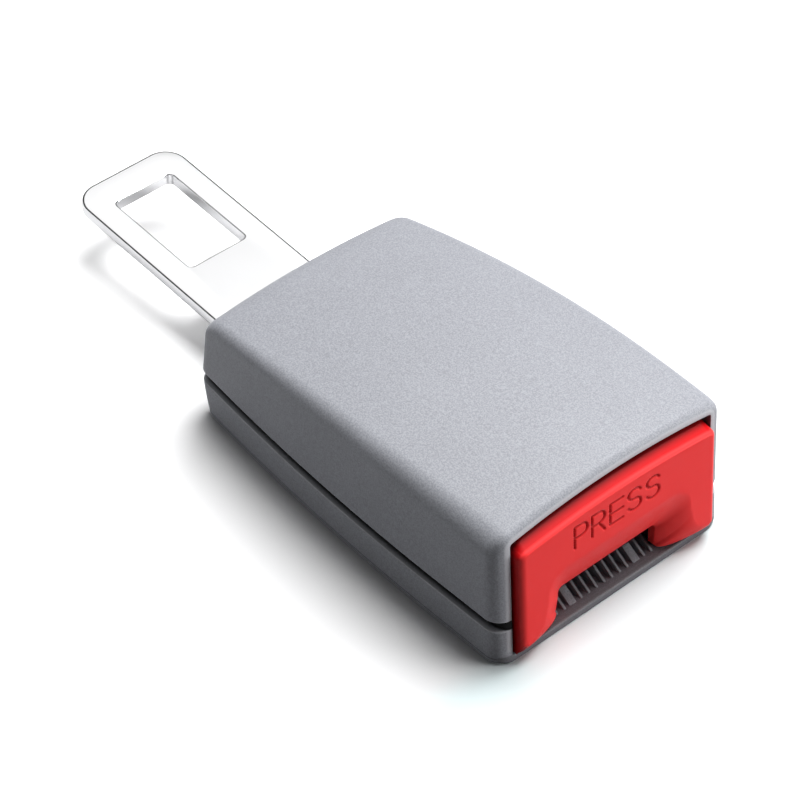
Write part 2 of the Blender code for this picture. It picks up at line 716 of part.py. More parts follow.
def make_rivet(name, side, material):
    """Steel rivet through the blade and the frame's rear plate, headed at both ends."""
    top = FIT_GAP + RIVET_HEAD_HEIGHT
    stack = BLADE_THICKNESS + FRAME_THICKNESS * math.cos(BLADE_PITCH) + 2 * FIT_GAP
    bottom = -stack - RIVET_HEAD_HEIGHT
    head = RIVET_HEAD_DIAMETER / 2
    shank = RIVET_DIAMETER / 2
    crown = head - RIVET_HEAD_ROUNDING
    profile = [(0, top), (crown, top), (head, top - RIVET_HEAD_ROUNDING), (head, FIT_GAP),
               (shank, FIT_GAP), (shank, -stack), (head, -stack),
               (head, bottom + RIVET_HEAD_ROUNDING), (crown, bottom), (0, bottom)]
    line = bpy.data.meshes.new(name)
    edges = [(k, k + 1) for k in range(len(profile) - 1)]
    line.from_pydata([(x, 0, z) for x, z in profile], edges, [])
    line.materials.append(material)
    rivet = bpy.data.objects.new(name, line)
    PARTS.objects.link(rivet)
    place(rivet, (RIVET_REACH, side * RIVET_Y, 0.0), BLADE_LINE)
    turning = rivet.modifiers.new("turned", "SCREW")
    turning.axis = "Z"
    turning.steps = 24
    turning.render_steps = 24
    turning.use_merge_vertices = True
    turning.merge_threshold = 0.00001
    turning.use_smooth_shade = False
    return rivet


def frame_top_at(x):
    """Top of the frame's base, which slopes up behind the bend to lie under the blade."""
    return FRAME_TOP + max(FRAME_BEND_X - x, 0.0) * BLADE_SLOPE


def make_buckle_frame(material):
    """Bent steel channel: rear plate, base, two walls and a spring tab."""
    kerb = 2 * FRAME_THICKNESS
    outline = rounded([
        (FRAME_REAR_X, frame_top_at(FRAME_REAR_X) - FRAME_THICKNESS, 0.0),
        (FRAME_BEND_X, FRAME_BASE, 0.0), (FRAME_FRONT_X, FRAME_BASE, 0.0),
        (FRAME_FRONT_X, FRAME_TOP + kerb, 0.0),
        (FRAME_FRONT_X - kerb, LATCH_BLOCK_HEIGHT, FRAME_FRONT_RADIUS),
        (FRAME_WALL_FRONT_X, FRAME_WALL_TOP, FRAME_WALL_RADIUS),
        (FRAME_WALL_REAR_X, FRAME_WALL_TOP, FRAME_WALL_RADIUS),
        (FRAME_WALL_REAR_X, frame_top_at(FRAME_WALL_REAR_X) + kerb, 0.0),
        (FRAME_REAR_X, frame_top_at(FRAME_REAR_X) + kerb, 0.0)])
    channel = side_plate("frame", [outline], 2 * FRAME_HALF_WIDTH)
    frame = object_from(channel, "buckle_frame", material)

    rear = FRAME_REAR_X - CUT_MARGIN
    front = FRAME_FRONT_X + CUT_MARGIN
    high = FRAME_WALL_TOP + CUT_MARGIN
    trough = [(rear, frame_top_at(rear)), (FRAME_BEND_X, FRAME_TOP), (front, FRAME_TOP),
              (front, high), (rear, high)]
    trough_block = side_plate("trough", [trough], 2 * (FRAME_HALF_WIDTH - FRAME_THICKNESS))
    combine(frame, tool_from(trough_block, "frame trough"), "DIFFERENCE")

    cuts = bmesh.new()
    clear = LOCK_BAR_DIAMETER / 2 + FIT_GAP
    slot_rear = LOCK_BAR_X - PRESS_TRAVEL - clear - SLIDE_GAP
    slot_front = LOCK_BAR_X + clear + SLIDE_GAP
    for side in (-1, 1):
        inner = side * FRAME_REAR_HALF_WIDTH
        outer = side * (FRAME_HALF_WIDTH + CUT_MARGIN)
        add_box(cuts, (rear, min(inner, outer), 0.0),
                (FRAME_SHOULDER_X, max(inner, outer), FRAME_WALL_TOP / 2))
    add_box(cuts, (slot_rear, -FRAME_HALF_WIDTH - CUT_MARGIN, LOCK_BAR_HEIGHT - clear),
            (slot_front, FRAME_HALF_WIDTH + CUT_MARGIN, LOCK_BAR_HEIGHT + clear))
    nose_front = NOSE_REAR_X + NOSE_LENGTH
    nose_half = NOSE_HALF_WIDTH + 2 * FIT_GAP
    add_box(cuts, (NOSE_REAR_X - 2 * FIT_GAP, -nose_half, 0.0),
            (nose_front + nose_swing() + FIT_GAP, nose_half, FRAME_TOP + FIT_GAP))
    foot_front = EJECTOR_FOOT_X + EJECTOR_FOOT_LENGTH
    foot_half = EJECTOR_FOOT_HALF_WIDTH + SLIDE_GAP
    add_box(cuts, (EJECTOR_FOOT_X - EJECT_TRAVEL - 2 * FIT_GAP, -foot_half, 0.0),
            (foot_front + 2 * FIT_GAP, foot_half, FRAME_TOP + FIT_GAP))
    add_rod(cuts, (PIN_X, 0, PIN_HEIGHT), PIN_DIAMETER / 2 + FIT_GAP,
            2 * FRAME_HALF_WIDTH + 2 * CUT_MARGIN, "Y")
    combine(frame, tool_from(cuts, "frame cuts"), "DIFFERENCE")

    holes = bmesh.new()
    for side in (-1, 1):
        add_rod(holes, (RIVET_REACH, side * RIVET_Y, -BLADE_THICKNESS - FRAME_THICKNESS),
                RIVET_DIAMETER / 2 + FIT_GAP, FRAME_THICKNESS * 4)
    combine(frame, tool_from(holes, "rivet holes", parent=BLADE_LINE), "DIFFERENCE")

    tab = bmesh.new()
    add_box(tab, (SPRING_TAB_X, -SPRING_TAB_HALF_WIDTH, FRAME_BASE + FRAME_THICKNESS / 2),
            (SPRING_TAB_X + FRAME_THICKNESS, SPRING_TAB_HALF_WIDTH, FRAME_TOP + SPRING_TAB_RISE))
    combine(frame, tool_from(tab, "spring tab"), "UNION")
    smooth(frame)
    return frame


def nose_swing():
    """How far the nose's tip swings forward as the latch lifts."""
    reach = NOSE_REAR_X + NOSE_LENGTH - PIN_X
    fall = PIN_HEIGHT - FRAME_BASE
    return reach * (math.cos(LATCH_LIFT) - 1) + fall * math.sin(LATCH_LIFT)


def make_latch(material):
    """Steel pawl that turns on the pin and drops its nose through the tongue's window."""
    origin = (PIN_X, 0.0, PIN_HEIGHT)
    nose_front = NOSE_REAR_X + NOSE_LENGTH
    ramp_low = LATCH_RAMP_TOP - LATCH_RAMP_SLOPE * (LATCH_BLOCK_REAR_X - LATCH_RAMP_REAR_X)
    tip = FRAME_BASE + FIT_GAP
    eye = [(PIN_X + LATCH_EYE_RADIUS * math.cos(math.radians(a)),
            PIN_HEIGHT + LATCH_EYE_RADIUS * math.sin(math.radians(a))) for a in range(270, 89, -15)]
    shoulder_x = LATCH_FRONT_X - LATCH_EYE_RADIUS * 2
    outline = eye + [
        (shoulder_x, LATCH_TOP), (LATCH_FRONT_X, LATCH_TOP - LATCH_EYE_RADIUS),
        (LATCH_FRONT_X, LATCH_BLOCK_HEIGHT + LATCH_EYE_RADIUS / 3),
        (LATCH_FRONT_X - LATCH_EYE_RADIUS / 3, LATCH_BLOCK_HEIGHT),
        (LATCH_BLOCK_REAR_X, LATCH_BLOCK_HEIGHT),
        (LATCH_BLOCK_REAR_X, LATCH_RAMP_TOP), (LATCH_RAMP_REAR_X, ramp_low),
        (PIN_X + LATCH_EYE_RADIUS, PIN_HEIGHT - LATCH_EYE_RADIUS)]
    hole = circle(PIN_X, PIN_HEIGHT, PIN_DIAMETER / 2 + FIT_GAP)
    body = side_plate("latch", [outline, hole], 2 * LATCH_HALF_WIDTH)
    latch = object_from(shifted(body, origin), "latch", material, origin)
    root = LATCH_BLOCK_HEIGHT + NOSE_LENGTH / 2
    nose = [(nose_front, root), (nose_front, (LATCH_BLOCK_HEIGHT + FRAME_TOP) / 2),
            (NOSE_REAR_X + NOSE_TIP_LENGTH, tip), (NOSE_REAR_X, tip), (NOSE_REAR_X, root)]
    combine(latch, tool_from(side_plate("nose", [nose], 2 * NOSE_HALF_WIDTH), "latch nose"), "UNION")
    smooth(latch)
    return latch


def make_rod(name, origin, diameter, length, material):
    """A plain steel pin along Y with its ends broken."""
    rod = bmesh.new()
    add_rod(rod, (0, 0, 0), diameter / 2, length, "Y")
    pin = object_from(rod, name, material, origin)
    bevel(pin, FIT_GAP, 1)
    smooth(pin)
    return pin


def face_at(z):
    """Where the leaning face of the button stands at a height."""
    return FACE_X - FRONT_LEAN * z


def button_section(y):
    """Side outline of the button's block at a place across its width."""
    crown = BUTTON_CROWN_DROP * (y / BUTTON_HALF_WIDTH) ** 2
    edge = drop(BUTTON_HALF_WIDTH - abs(y), BUTTON_EDGE_RADIUS)
    crease = CREASE_HEIGHT - crown - edge
    crease_x = face_at(crease) - edge
    bevel_x = crease_x - BEVEL_LENGTH
    skirt_top = crease + BEVEL_RISE
    slope = Vector((-BEVEL_LENGTH, BEVEL_RISE)).normalized() * CREASE_RADIUS
    corners = [
        (BUTTON_REAR_X, BUTTON_BOTTOM), (BUTTON_FOOT_X - edge, BUTTON_BOTTOM),
        (face_at(0) - edge - 2 * EDGE_BREAK, BUTTON_FACE_BOTTOM - 2 * EDGE_BREAK),
        (face_at(BUTTON_FACE_BOTTOM) - edge, BUTTON_FACE_BOTTOM),
        (face_at(FUNNEL_TOP) - edge, FUNNEL_TOP),
        (face_at(crease - CREASE_RADIUS) - edge, crease - CREASE_RADIUS),
        (crease_x + slope.x / 4, crease - CREASE_RADIUS / 8),
        (crease_x + slope.x, crease + slope.y),
        (bevel_x, skirt_top), (BUTTON_REAR_X, skirt_top)]
    return [(x, y, z) for x, z in corners]


def funnel_ring(setback, top, top_half, side_half, foot_half, foot, corner):
    """A ring of the funnel at a setback from the face.

    It is an arch with rounded shoulders and feet that turn out.
    """
    half = [(0.0, top)]
    middle_y, middle_z = side_half - corner, top - corner
    half.append((min(top_half, middle_y), top))
    for k in range(1, 6):
        angle = math.pi / 2 * (1 - k / 6)
        half.append((middle_y + corner * math.cos(angle), middle_z + corner * math.sin(angle)))
    half.append((side_half, middle_z))
    half.append(((side_half * 2 + foot_half) / 3, (middle_z + foot * 2) / 3))
    half.append((foot_half, foot))
    half.append((foot_half, -CUT_MARGIN))
    ring = half + [(-y, z) for y, z in reversed(half[1:])]
    return [(face_at(z) - setback, y, z) for y, z in ring]


def funnel_rings():
    """The mouth's rear and front ends, and the funnel carried on past the face."""
    spread = 1 + CUT_MARGIN / FUNNEL_DEPTH
    sill = FRAME_TOP + FIT_GAP
    mouth = (MOUTH_TOP, MOUTH_HALF_WIDTH - MOUTH_CORNER_RADIUS, MOUTH_HALF_WIDTH,
             MOUTH_FLARE_HALF_WIDTH, sill)
    face = (FUNNEL_TOP, FUNNEL_TOP_HALF_WIDTH, FUNNEL_HALF_WIDTH, FUNNEL_FOOT_HALF_WIDTH,
            BUTTON_FACE_BOTTOM + FUNNEL_FOOT_RISE)
    beyond = [inner + (outer - inner) * spread for inner, outer in zip(mouth, face)]
    behind = FACE_X - BUTTON_BACK_X + CUT_MARGIN
    return [funnel_ring(behind, *mouth, MOUTH_CORNER_RADIUS),
            funnel_ring(FUNNEL_DEPTH, *mouth, MOUTH_CORNER_RADIUS),
            funnel_ring(-CUT_MARGIN, *beyond, FUNNEL_CORNER_RADIUS)]


def make_release_button(material):
    """Red moulded button: face wall, top skirt, side walls and two arms."""
    origin = (LOCK_BAR_X, 0.0, LOCK_BAR_HEIGHT)
    flat = BUTTON_HALF_WIDTH - BUTTON_EDGE_RADIUS
    places = [flat * k / 5 for k in range(-5, 6)]
    for k in (1, 2, 3):
        y = flat + BUTTON_EDGE_RADIUS * math.sin(math.pi / 2 * k / 3)
        places = [-y] + places + [y]
    block = loft([button_section(y) for y in places])
    button = object_from(shifted(block, origin), "release_button", material, origin)

    room = bmesh.new()
    room_half = BUTTON_HALF_WIDTH - BUTTON_SIDE_WALL
    room_top = CREASE_HEIGHT + BEVEL_RISE - BUTTON_CROWN_DROP - SKIRT_THICKNESS
    add_box(room, (BUTTON_REAR_X - CUT_MARGIN, -room_half, 0.0), (BUTTON_BACK_X, room_half, room_top))
    combine(button, tool_from(room, "button room"), "DIFFERENCE")

    combine(button, tool_from(loft(funnel_rings()), "mouth and funnel"), "DIFFERENCE")

    arms = bmesh.new()
    for side in (-1, 1):
        inner = side * ARM_INNER_Y
        outer = side * (ARM_INNER_Y + ARM_WIDTH)
        add_box(arms, (ARM_REAR_X, min(inner, outer), ARM_BOTTOM),
                ((BUTTON_BACK_X + BUTTON_FOOT_X) / 2, max(inner, outer), ARM_TOP))
    combine(button, tool_from(arms, "button arms"), "UNION")
    bar_hole = bmesh.new()
    add_rod(bar_hole, origin, LOCK_BAR_DIAMETER / 2 + FIT_GAP, 2 * BUTTON_HALF_WIDTH, "Y")
    combine(button, tool_from(bar_hole, "lock bar hole"), "DIFFERENCE")
    smooth(button)
    return button


def make_ejector(material):
    """Plastic slider with a foot in the frame's slot and a rod inside its spring."""
    origin = (EJECTOR_REAR_X, 0.0, EJECTOR_ROD_HEIGHT)
    block = bmesh.new()
    add_box(block, (EJECTOR_REAR_X, -EJECTOR_HALF_WIDTH, EJECTOR_BOTTOM),
            (EJECTOR_FRONT_X, EJECTOR_HALF_WIDTH, EJECTOR_BOTTOM + EJECTOR_HEIGHT))
    ejector = object_from(shifted(block, origin), "ejector", material, origin)
    bevel(ejector, FIT_GAP * 2, 2)
    rod = bmesh.new()
    add_rod(rod, (EJECTOR_REAR_X, 0, EJECTOR_ROD_HEIGHT), EJECTOR_ROD_DIAMETER / 2,
            EJECTOR_ROD_LENGTH * 2, "X", 16)
    combine(ejector, tool_from(rod, "ejector rod"), "UNION")
    foot = bmesh.new()
    add_box(foot, (EJECTOR_FOOT_X, -EJECTOR_FOOT_HALF_WIDTH, FRAME_BASE + FIT_GAP),
            (EJECTOR_FOOT_X + EJECTOR_FOOT_LENGTH, EJECTOR_FOOT_HALF_WIDTH,
             EJECTOR_BOTTOM + EJECTOR_HEIGHT / 2))
    combine(ejector, tool_from(foot, "ejector foot"), "UNION")
    smooth(ejector)
    return ejector


def make_spring(name, start, length, radius, wire, turns, material, along_x=True):
    """A compression spring with one closely wound turn at each end."""
    close_pitch = wire * CLOSED_PITCH_IN_WIRES
    open_pitch = (length - wire - 2 * close_pitch) / (turns - 2)
    curve = bpy.data.curves.new(name, "CURVE")
    curve.dimensions = "3D"
    curve.bevel_depth = wire / 2
    curve.bevel_resolution = 2
    curve.use_fill_caps = True
    count = turns * POINTS_PER_TURN + 1
    spline = curve.splines.new("POLY")
    spline.points.add(count - 1)
    for k, point in enumerate(spline.points):
        turn = k / POINTS_PER_TURN
        opened = min(max(turn - 1, 0.0), turns - 2)
        height = wire / 2 + (turn - opened) * close_pitch + opened * open_pitch
        angle = 2 * math.pi * turn
        point.co = (radius * math.cos(angle), radius * math.sin(angle), height, 1.0)
    curve.materials.append(material)
    spring = bpy.data.objects.new(name, curve)
    PARTS.objects.link(spring)
    place(spring, start)
    if along_x:
        spring.rotation_euler = (0.0, math.pi / 2, 0.0)
    return spring


def build_extender():
    grey = new_material("grey housing plastic", (0.36, 0.37, 0.39), 0.55)
    red = new_material("red button plastic", (0.62, 0.02, 0.02), 0.45)
    plated = new_material("bright plated steel", (0.82, 0.83, 0.85), 0.18, 1.0)
    steel = new_material("zinc plated steel", (0.55, 0.56, 0.58), 0.4, 1.0)
    wire = new_material("spring wire", (0.45, 0.45, 0.46), 0.35, 1.0)
    black = new_material("black slider plastic", (0.03, 0.03, 0.03), 0.5)

    make_upper_cover(grey)
    make_lower_cover(grey)
    make_release_button(red)
    make_tongue_blade(plated)
    make_buckle_frame(steel)
    make_rivet("rivet_left", 1, steel)
    make_rivet("rivet_right", -1, steel)
    make_latch(steel)
    pin_length = 2 * (FRAME_HALF_WIDTH + PIN_OVERHANG)
    make_rod("latch_pin", (PIN_X, 0, PIN_HEIGHT), PIN_DIAMETER, pin_length, steel)
    bar_length = 2 * (ARM_INNER_Y + ARM_WIDTH - FIT_GAP)
    make_rod("lock_bar", (LOCK_BAR_X, 0, LOCK_BAR_HEIGHT), LOCK_BAR_DIAMETER, bar_length, steel)
    make_ejector(black)

    tab_front = SPRING_TAB_X + FRAME_THICKNESS + FIT_GAP
    make_spring("ejector_spring", (tab_front, 0, EJECTOR_ROD_HEIGHT),
                EJECTOR_REAR_X - FIT_GAP - tab_front, EJECTOR_SPRING_RADIUS,
                EJECTOR_SPRING_WIRE, EJECTOR_SPRING_TURNS, wire)
    seat_front = SPRING_SEAT_X + SPRING_SEAT_LENGTH + FIT_GAP
    arm_middle = (ARM_BOTTOM + ARM_TOP) / 2
    for name, side in (("button_spring_left", 1), ("button_spring_right", -1)):
        make_spring(name, (seat_front, side * ARM_Y, arm_middle),
                    ARM_REAR_X - FIT_GAP - seat_front, BUTTON_SPRING_RADIUS,
                    BUTTON_SPRING_WIRE, BUTTON_SPRING_TURNS, wire)
    spring_bottom = LATCH_TOP + FIT_GAP
    make_spring("latch_spring", (LATCH_BOSS_X, 0, spring_bottom),
                LATCH_BOSS_BOTTOM - FIT_GAP - spring_bottom, LATCH_SPRING_RADIUS,
                LATCH_SPRING_WIRE, LATCH_SPRING_TURNS, wire, along_x=False)


build_extender()
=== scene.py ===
"""Looks of the seat belt extender: a plated tongue, a grey housing and a red button."""
import math

import bmesh
import bpy
import numpy as np
from mathutils import Matrix, Vector


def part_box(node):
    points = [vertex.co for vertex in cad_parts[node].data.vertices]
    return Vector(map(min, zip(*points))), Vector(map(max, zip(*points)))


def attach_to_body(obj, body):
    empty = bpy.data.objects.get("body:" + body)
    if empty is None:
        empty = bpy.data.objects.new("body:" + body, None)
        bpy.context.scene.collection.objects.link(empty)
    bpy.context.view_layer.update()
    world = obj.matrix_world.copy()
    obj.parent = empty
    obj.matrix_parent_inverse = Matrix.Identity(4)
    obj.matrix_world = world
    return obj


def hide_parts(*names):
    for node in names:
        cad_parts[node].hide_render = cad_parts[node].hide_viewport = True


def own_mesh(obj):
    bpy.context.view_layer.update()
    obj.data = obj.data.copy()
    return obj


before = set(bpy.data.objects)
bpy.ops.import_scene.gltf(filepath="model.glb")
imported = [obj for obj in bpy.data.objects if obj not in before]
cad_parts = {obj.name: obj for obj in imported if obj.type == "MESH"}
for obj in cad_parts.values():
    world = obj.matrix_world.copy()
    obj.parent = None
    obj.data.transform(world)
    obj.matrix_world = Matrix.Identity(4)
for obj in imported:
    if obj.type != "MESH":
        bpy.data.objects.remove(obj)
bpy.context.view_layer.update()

# Upper cover: the upper half of the moulded housing, injection moulded in mid grey
# ABS with a fine spark-eroded grain. It is an arched shell, open below and at the
# front, that snaps over the lower half's rabbet. Sizes are in metres.
MM = 0.001
rim_x = 60.7688 * MM
housing_length = 76.95 * MM
rear_x = rim_x - housing_length
rim_lean = 0.072
upper_edge = 9.0 * MM
side_thickness = 2.4 * MM
roof_thickness = 1.7 * MM
front_round = 3.0 * MM
rear_round = 2.6 * MM
roof_rear_round = 4.9 * MM
edge_break = 0.3 * MM


def half_width(x):
    """Half width: straight for 15.3 mm behind the rim, then an arc of 481 mm radius."""
    behind = np.maximum(rim_x - 15.3 * MM - x, 0.0)
    return 24.71 * MM - 481 * MM + np.sqrt((481 * MM) ** 2 - behind ** 2)


def leaned(x, y, z):
    """Rear face leans forward above the groove and tucks under below it, the front
    leans back by 0.072 for each unit of height, and the width follows the new x."""
    share = (x - rear_x) / housing_length
    above = 0.147 * (z - upper_edge)
    below = 2.1 * MM * (np.clip(upper_edge - z, 0, None) / upper_edge) ** 2
    moved = x + (1 - share) * np.where(z > upper_edge, above, below) - share * rim_lean * z
    return moved, y * half_width(moved) / half_width(x), z


def ridge(x, y):
    """Height of the arched top: a straight fall to the rear plus a parabola along the
    length, less a parabola across the width."""
    behind = (rim_x - x) / housing_length
    along = 27.68 - 5.13 * behind + 10 * behind * (1 - behind)
    return along * MM - 1.75 * MM * (y / (22 * MM)) ** 2


def rounding(distance, radius):
    """Fall of a quarter-round edge at a distance in from it: r - sqrt(r2 - (r-d)2)."""
    reach = np.clip(radius - distance, 0.0, radius)
    return radius - np.sqrt(np.maximum(radius ** 2 - reach ** 2, 0.0))


def swept(name, grid, caps=(), marks=None):
    """A skin over a grid of points [station, around], each station a closed loop.
    Loops that meet in a point are welded; caps lists the stations shut by a flat face,
    and marks holds a value from 0 to 1 for each point that a material may read."""
    stations, around = grid.shape[:2]
    index = np.arange(stations * around).reshape(stations, around)
    ahead = np.roll(index, -1, axis=1)
    quads = np.stack([index[:-1], ahead[:-1], ahead[1:], index[1:]], axis=-1).reshape(-1, 4)
    faces = quads.tolist() + [index[cap].tolist() for cap in caps]
    return skinned(name, grid.reshape(-1, 3), faces, marks)


def skinned(name, points, faces, marks=None):
    """A welded mesh object with outward normals, smooth but for its sharp corners."""
    mesh = bpy.data.meshes.new(name)
    mesh.from_pydata(points.tolist(), [], faces)
    if marks is not None:
        mesh.attributes.new("marks", "FLOAT", "POINT").data.foreach_set("value", marks.ravel())
    piece = bpy.data.objects.new(name, welded(mesh))
    bpy.context.scene.collection.objects.link(piece)
    return piece


def welded(mesh):
    """Welds coincident points, drops faces without area and turns normals outward."""
    work = bmesh.new()
    work.from_mesh(mesh)
    bmesh.ops.remove_doubles(work, verts=work.verts, dist=2e-6)
    bmesh.ops.dissolve_degenerate(work, edges=work.edges, dist=1e-7)
    bmesh.ops.recalc_face_normals(work, faces=work.faces)
    work.to_mesh(mesh)
    work.free()
    mesh.shade_smooth()
    mesh.set_sharp_from_angle(angle=math.radians(38))
    return mesh


front_turn = front_round * (1 - np.cos(np.linspace(0, math.pi / 2, 15)))
rear_turn = roof_rear_round * (1 - np.cos(np.linspace(math.pi / 2, 0, 19)))
body_run = np.linspace(rim_x - front_round, rear_x + roof_rear_round, 42)[1:-1]
station_x = np.concatenate([rim_x - front_turn, body_run, rear_x + rear_turn])
closing = np.linspace(1, 0, 10)[1:]
cover_x = np.concatenate([station_x, np.full(len(closing), rear_x)])[:, None]
cover_share = np.concatenate([np.ones(len(station_x)), closing])[:, None]
from_rim = rim_x - cover_x
from_rear = cover_x - rear_x
behind_share = from_rim / housing_length

# One half of the arch across the width, as the wall's height share, the shoulder's
# angle and the roof's width share, in that order from the wall's foot to the middle.
wall_steps = np.linspace(0, 1, 16)
shoulder_steps = np.linspace(0, math.pi / 2, 12)[1:]
roof_steps = np.linspace(1, 0, 28)[1:]


def arch(x, half, lowered, shoulder, foot):
    """Points (y, z) of an arch at each station: a wall up from the foot, a rounded
    shoulder of the given radius and a crowned roof, mirrored about the middle."""
    side_top = ridge(x, half) - lowered - shoulder
    wall_y = half + 0 * wall_steps
    wall_z = foot + (side_top - foot) * wall_steps
    bend_y = half - shoulder * (1 - np.cos(shoulder_steps))
    bend_z = ridge(x, bend_y) - lowered - shoulder * (1 - np.sin(shoulder_steps))
    roof_y = (half - shoulder) * roof_steps
    roof_z = ridge(x, roof_y) - lowered
    y = np.concatenate([wall_y, bend_y, roof_y], axis=1)
    z = np.concatenate([wall_z, bend_z, roof_z], axis=1)
    return (np.concatenate([-y, y[:, -2::-1]], axis=1),
            np.concatenate([z, z[:, -2::-1]], axis=1))


front_share = rounding(from_rim, front_round) / front_round
outer_half = half_width(cover_x) - rounding(from_rim, front_round) - rounding(from_rear, rear_round)
outer_lowered = rounding(from_rim, 1.5 * MM) + rounding(from_rear, roof_rear_round)
outer_shoulder = (3.4 - 1.7 * behind_share) * MM * (1 - 0.82 * front_share)
y_out, z_out = arch(cover_x, outer_half, outer_lowered, outer_shoulder, upper_edge + edge_break)


def wall_thickness(behind):
    """The side's thickness plus 0.7 mm times a smooth step, 3 t2 - 2 t3, towards the rim."""
    toward_rim = np.clip(1 - behind / (12 * MM), 0, 1)
    return side_thickness + 0.7 * MM * toward_rim ** 2 * (3 - 2 * toward_rim)


inner_rear_round = roof_rear_round - side_thickness
inner_x = np.where(from_rear < roof_rear_round,
                   rear_x + side_thickness + from_rear * inner_rear_round / roof_rear_round, cover_x)
inner_half = half_width(inner_x) - wall_thickness(from_rim)
inner_lowered = roof_thickness + rounding(inner_x - rear_x - side_thickness, inner_rear_round)
inner_shoulder = 0.5 * MM + 0 * cover_x
rabbet_top = 11.0 * MM
y_in, z_in = arch(inner_x, inner_half, inner_lowered, inner_shoulder, rabbet_top)


def closed_in(y, z, foot):
    """Shrinks the rear face's arches towards the middle of their feet."""
    return y * cover_share, foot + (z - foot) * cover_share


y_out, z_out = closed_in(y_out, z_out, upper_edge + edge_break)
y_in, z_in = closed_in(y_in, z_in, rabbet_top)
x_out = cover_x + 0 * y_out
x_in = inner_x + 0 * y_in


def strip(shares, heights, outer, inner):
    """The cover's lower edge: points at shares of the way from the outer foot to the
    inner foot, at given heights."""
    shares = np.array(shares)
    x = outer[0] + (inner[0] - outer[0]) * shares
    y = outer[1] + (inner[1] - outer[1]) * shares
    return x, y, np.array(heights) * MM + 0 * x


right_edge = strip([0.035, 0.125, 0.42, 0.42], [9.09, 9.0, 9.0, 11.0],
                   (cover_x, y_out[:, -1:]), (inner_x, y_in[:, -1:]))
left_edge = [part[:, ::-1] for part in right_edge]
x = np.concatenate([x_out, right_edge[0], x_in[:, ::-1], left_edge[0]], axis=1)
y = np.concatenate([y_out, right_edge[1], y_in[:, ::-1], -left_edge[1]], axis=1)
z = np.concatenate([z_out, right_edge[2], z_in[:, ::-1], left_edge[2]], axis=1)
upper_cover = swept("housing_upper_shell", np.stack(leaned(x, y, z), axis=-1), caps=[0])


class Wire:
    """A socket of a material that joins in arithmetic with numbers and other wires."""

    def __init__(self, tree, socket):
        self.tree, self.socket = tree, socket

    def maths(self, operation, *others):
        """One Math node with this wire as its first value."""
        node = self.tree.nodes.new("ShaderNodeMath")
        node.operation = operation
        for socket, value in zip(node.inputs, (self, *others)):
            attach(self.tree, value, socket)
        return Wire(self.tree, node.outputs[0])

    def __add__(self, other):
        return self.maths("ADD", other)

    def __sub__(self, other):
        return self.maths("SUBTRACT", other)

    def __mul__(self, other):
        return self.maths("MULTIPLY", other)

    def __rsub__(self, other):
        return self * -1 + other

    __radd__, __rmul__ = __add__, __mul__

    def between(self, low, high):
        """A smooth share from 0 at the low value to 1 at the high value."""
        node = self.tree.nodes.new("ShaderNodeMapRange")
        node.interpolation_type = "SMOOTHSTEP"
        for name, value in (("Value", self), ("From Min", low), ("From Max", high)):
            attach(self.tree, value, node.inputs[name])
        return Wire(self.tree, node.outputs[0])

    def within(self, rise, fall):
        """A share of 1 between two values: it rises over one pair and falls over the other."""
        return self.between(*rise) * (1 - self.between(*fall))


def attach(tree, value, socket):
    """Links a wire to a socket, or sets the socket to a plain value."""
    if isinstance(value, Wire):
        tree.links.new(value.socket, socket)
    else:
        socket.default_value = value


class Nodes:
    """The nodes of one material or world, each added by its kind."""

    def __init__(self, tree):
        self.tree = tree

    def node(self, kind, settings=None, sockets=None, output=0):
        """Adds any node, with its settings and its sockets by name, and gives one output."""
        made = self.tree.nodes.new("ShaderNode" + kind)
        for key, value in (settings or {}).items():
            setattr(made, key, value)
        for key, value in (sockets or {}).items():
            attach(self.tree, value, made.inputs[key])
        return Wire(self.tree, made.outputs[output])

    def axis(self, name, coordinates="Object"):
        """One axis of the coordinates that the texture node gives out."""
        place = self.node("TexCoord", output=coordinates)
        return self.node("SeparateXYZ", sockets={"Vector": place}, output=name)

    def noise(self, scale, detail=3.0, roughness=0.5):
        """A noise over the piece, with its scale in repeats a metre."""
        place = self.node("TexCoord", output="Object")
        return self.node("TexNoise", sockets={"Vector": place, "Scale": scale,
                                              "Detail": detail, "Roughness": roughness})

    def blend(self, share, first, second):
        """A colour part of the way from one colour to another."""
        mixed = self.tree.nodes.new("ShaderNodeMix")
        mixed.data_type = "RGBA"
        for socket, value in ((0, share), (6, first), (7, second)):
            attach(self.tree, value, mixed.inputs[socket])
        return Wire(self.tree, mixed.outputs[2])

    def bump(self, height, distance, strength=1.0):
        """A normal that follows a height, which is 1 at the distance above the skin."""
        return self.node("Bump", sockets={"Height": height, "Distance": distance,
                                          "Strength": strength})


class Finish(Nodes):
    """A material built round one Principled shader."""

    def __init__(self, name, **constants):
        self.material = bpy.data.materials.new(name)
        self.material.use_nodes = True
        super().__init__(self.material.node_tree)
        self.shader = self.tree.nodes["Principled BSDF"]
        for socket, value in constants.items():
            self.set(socket.replace("_", " "), value)

    def set(self, socket, value):
        """Links or sets one of the shader's own sockets."""
        attach(self.tree, value, self.shader.inputs[socket])


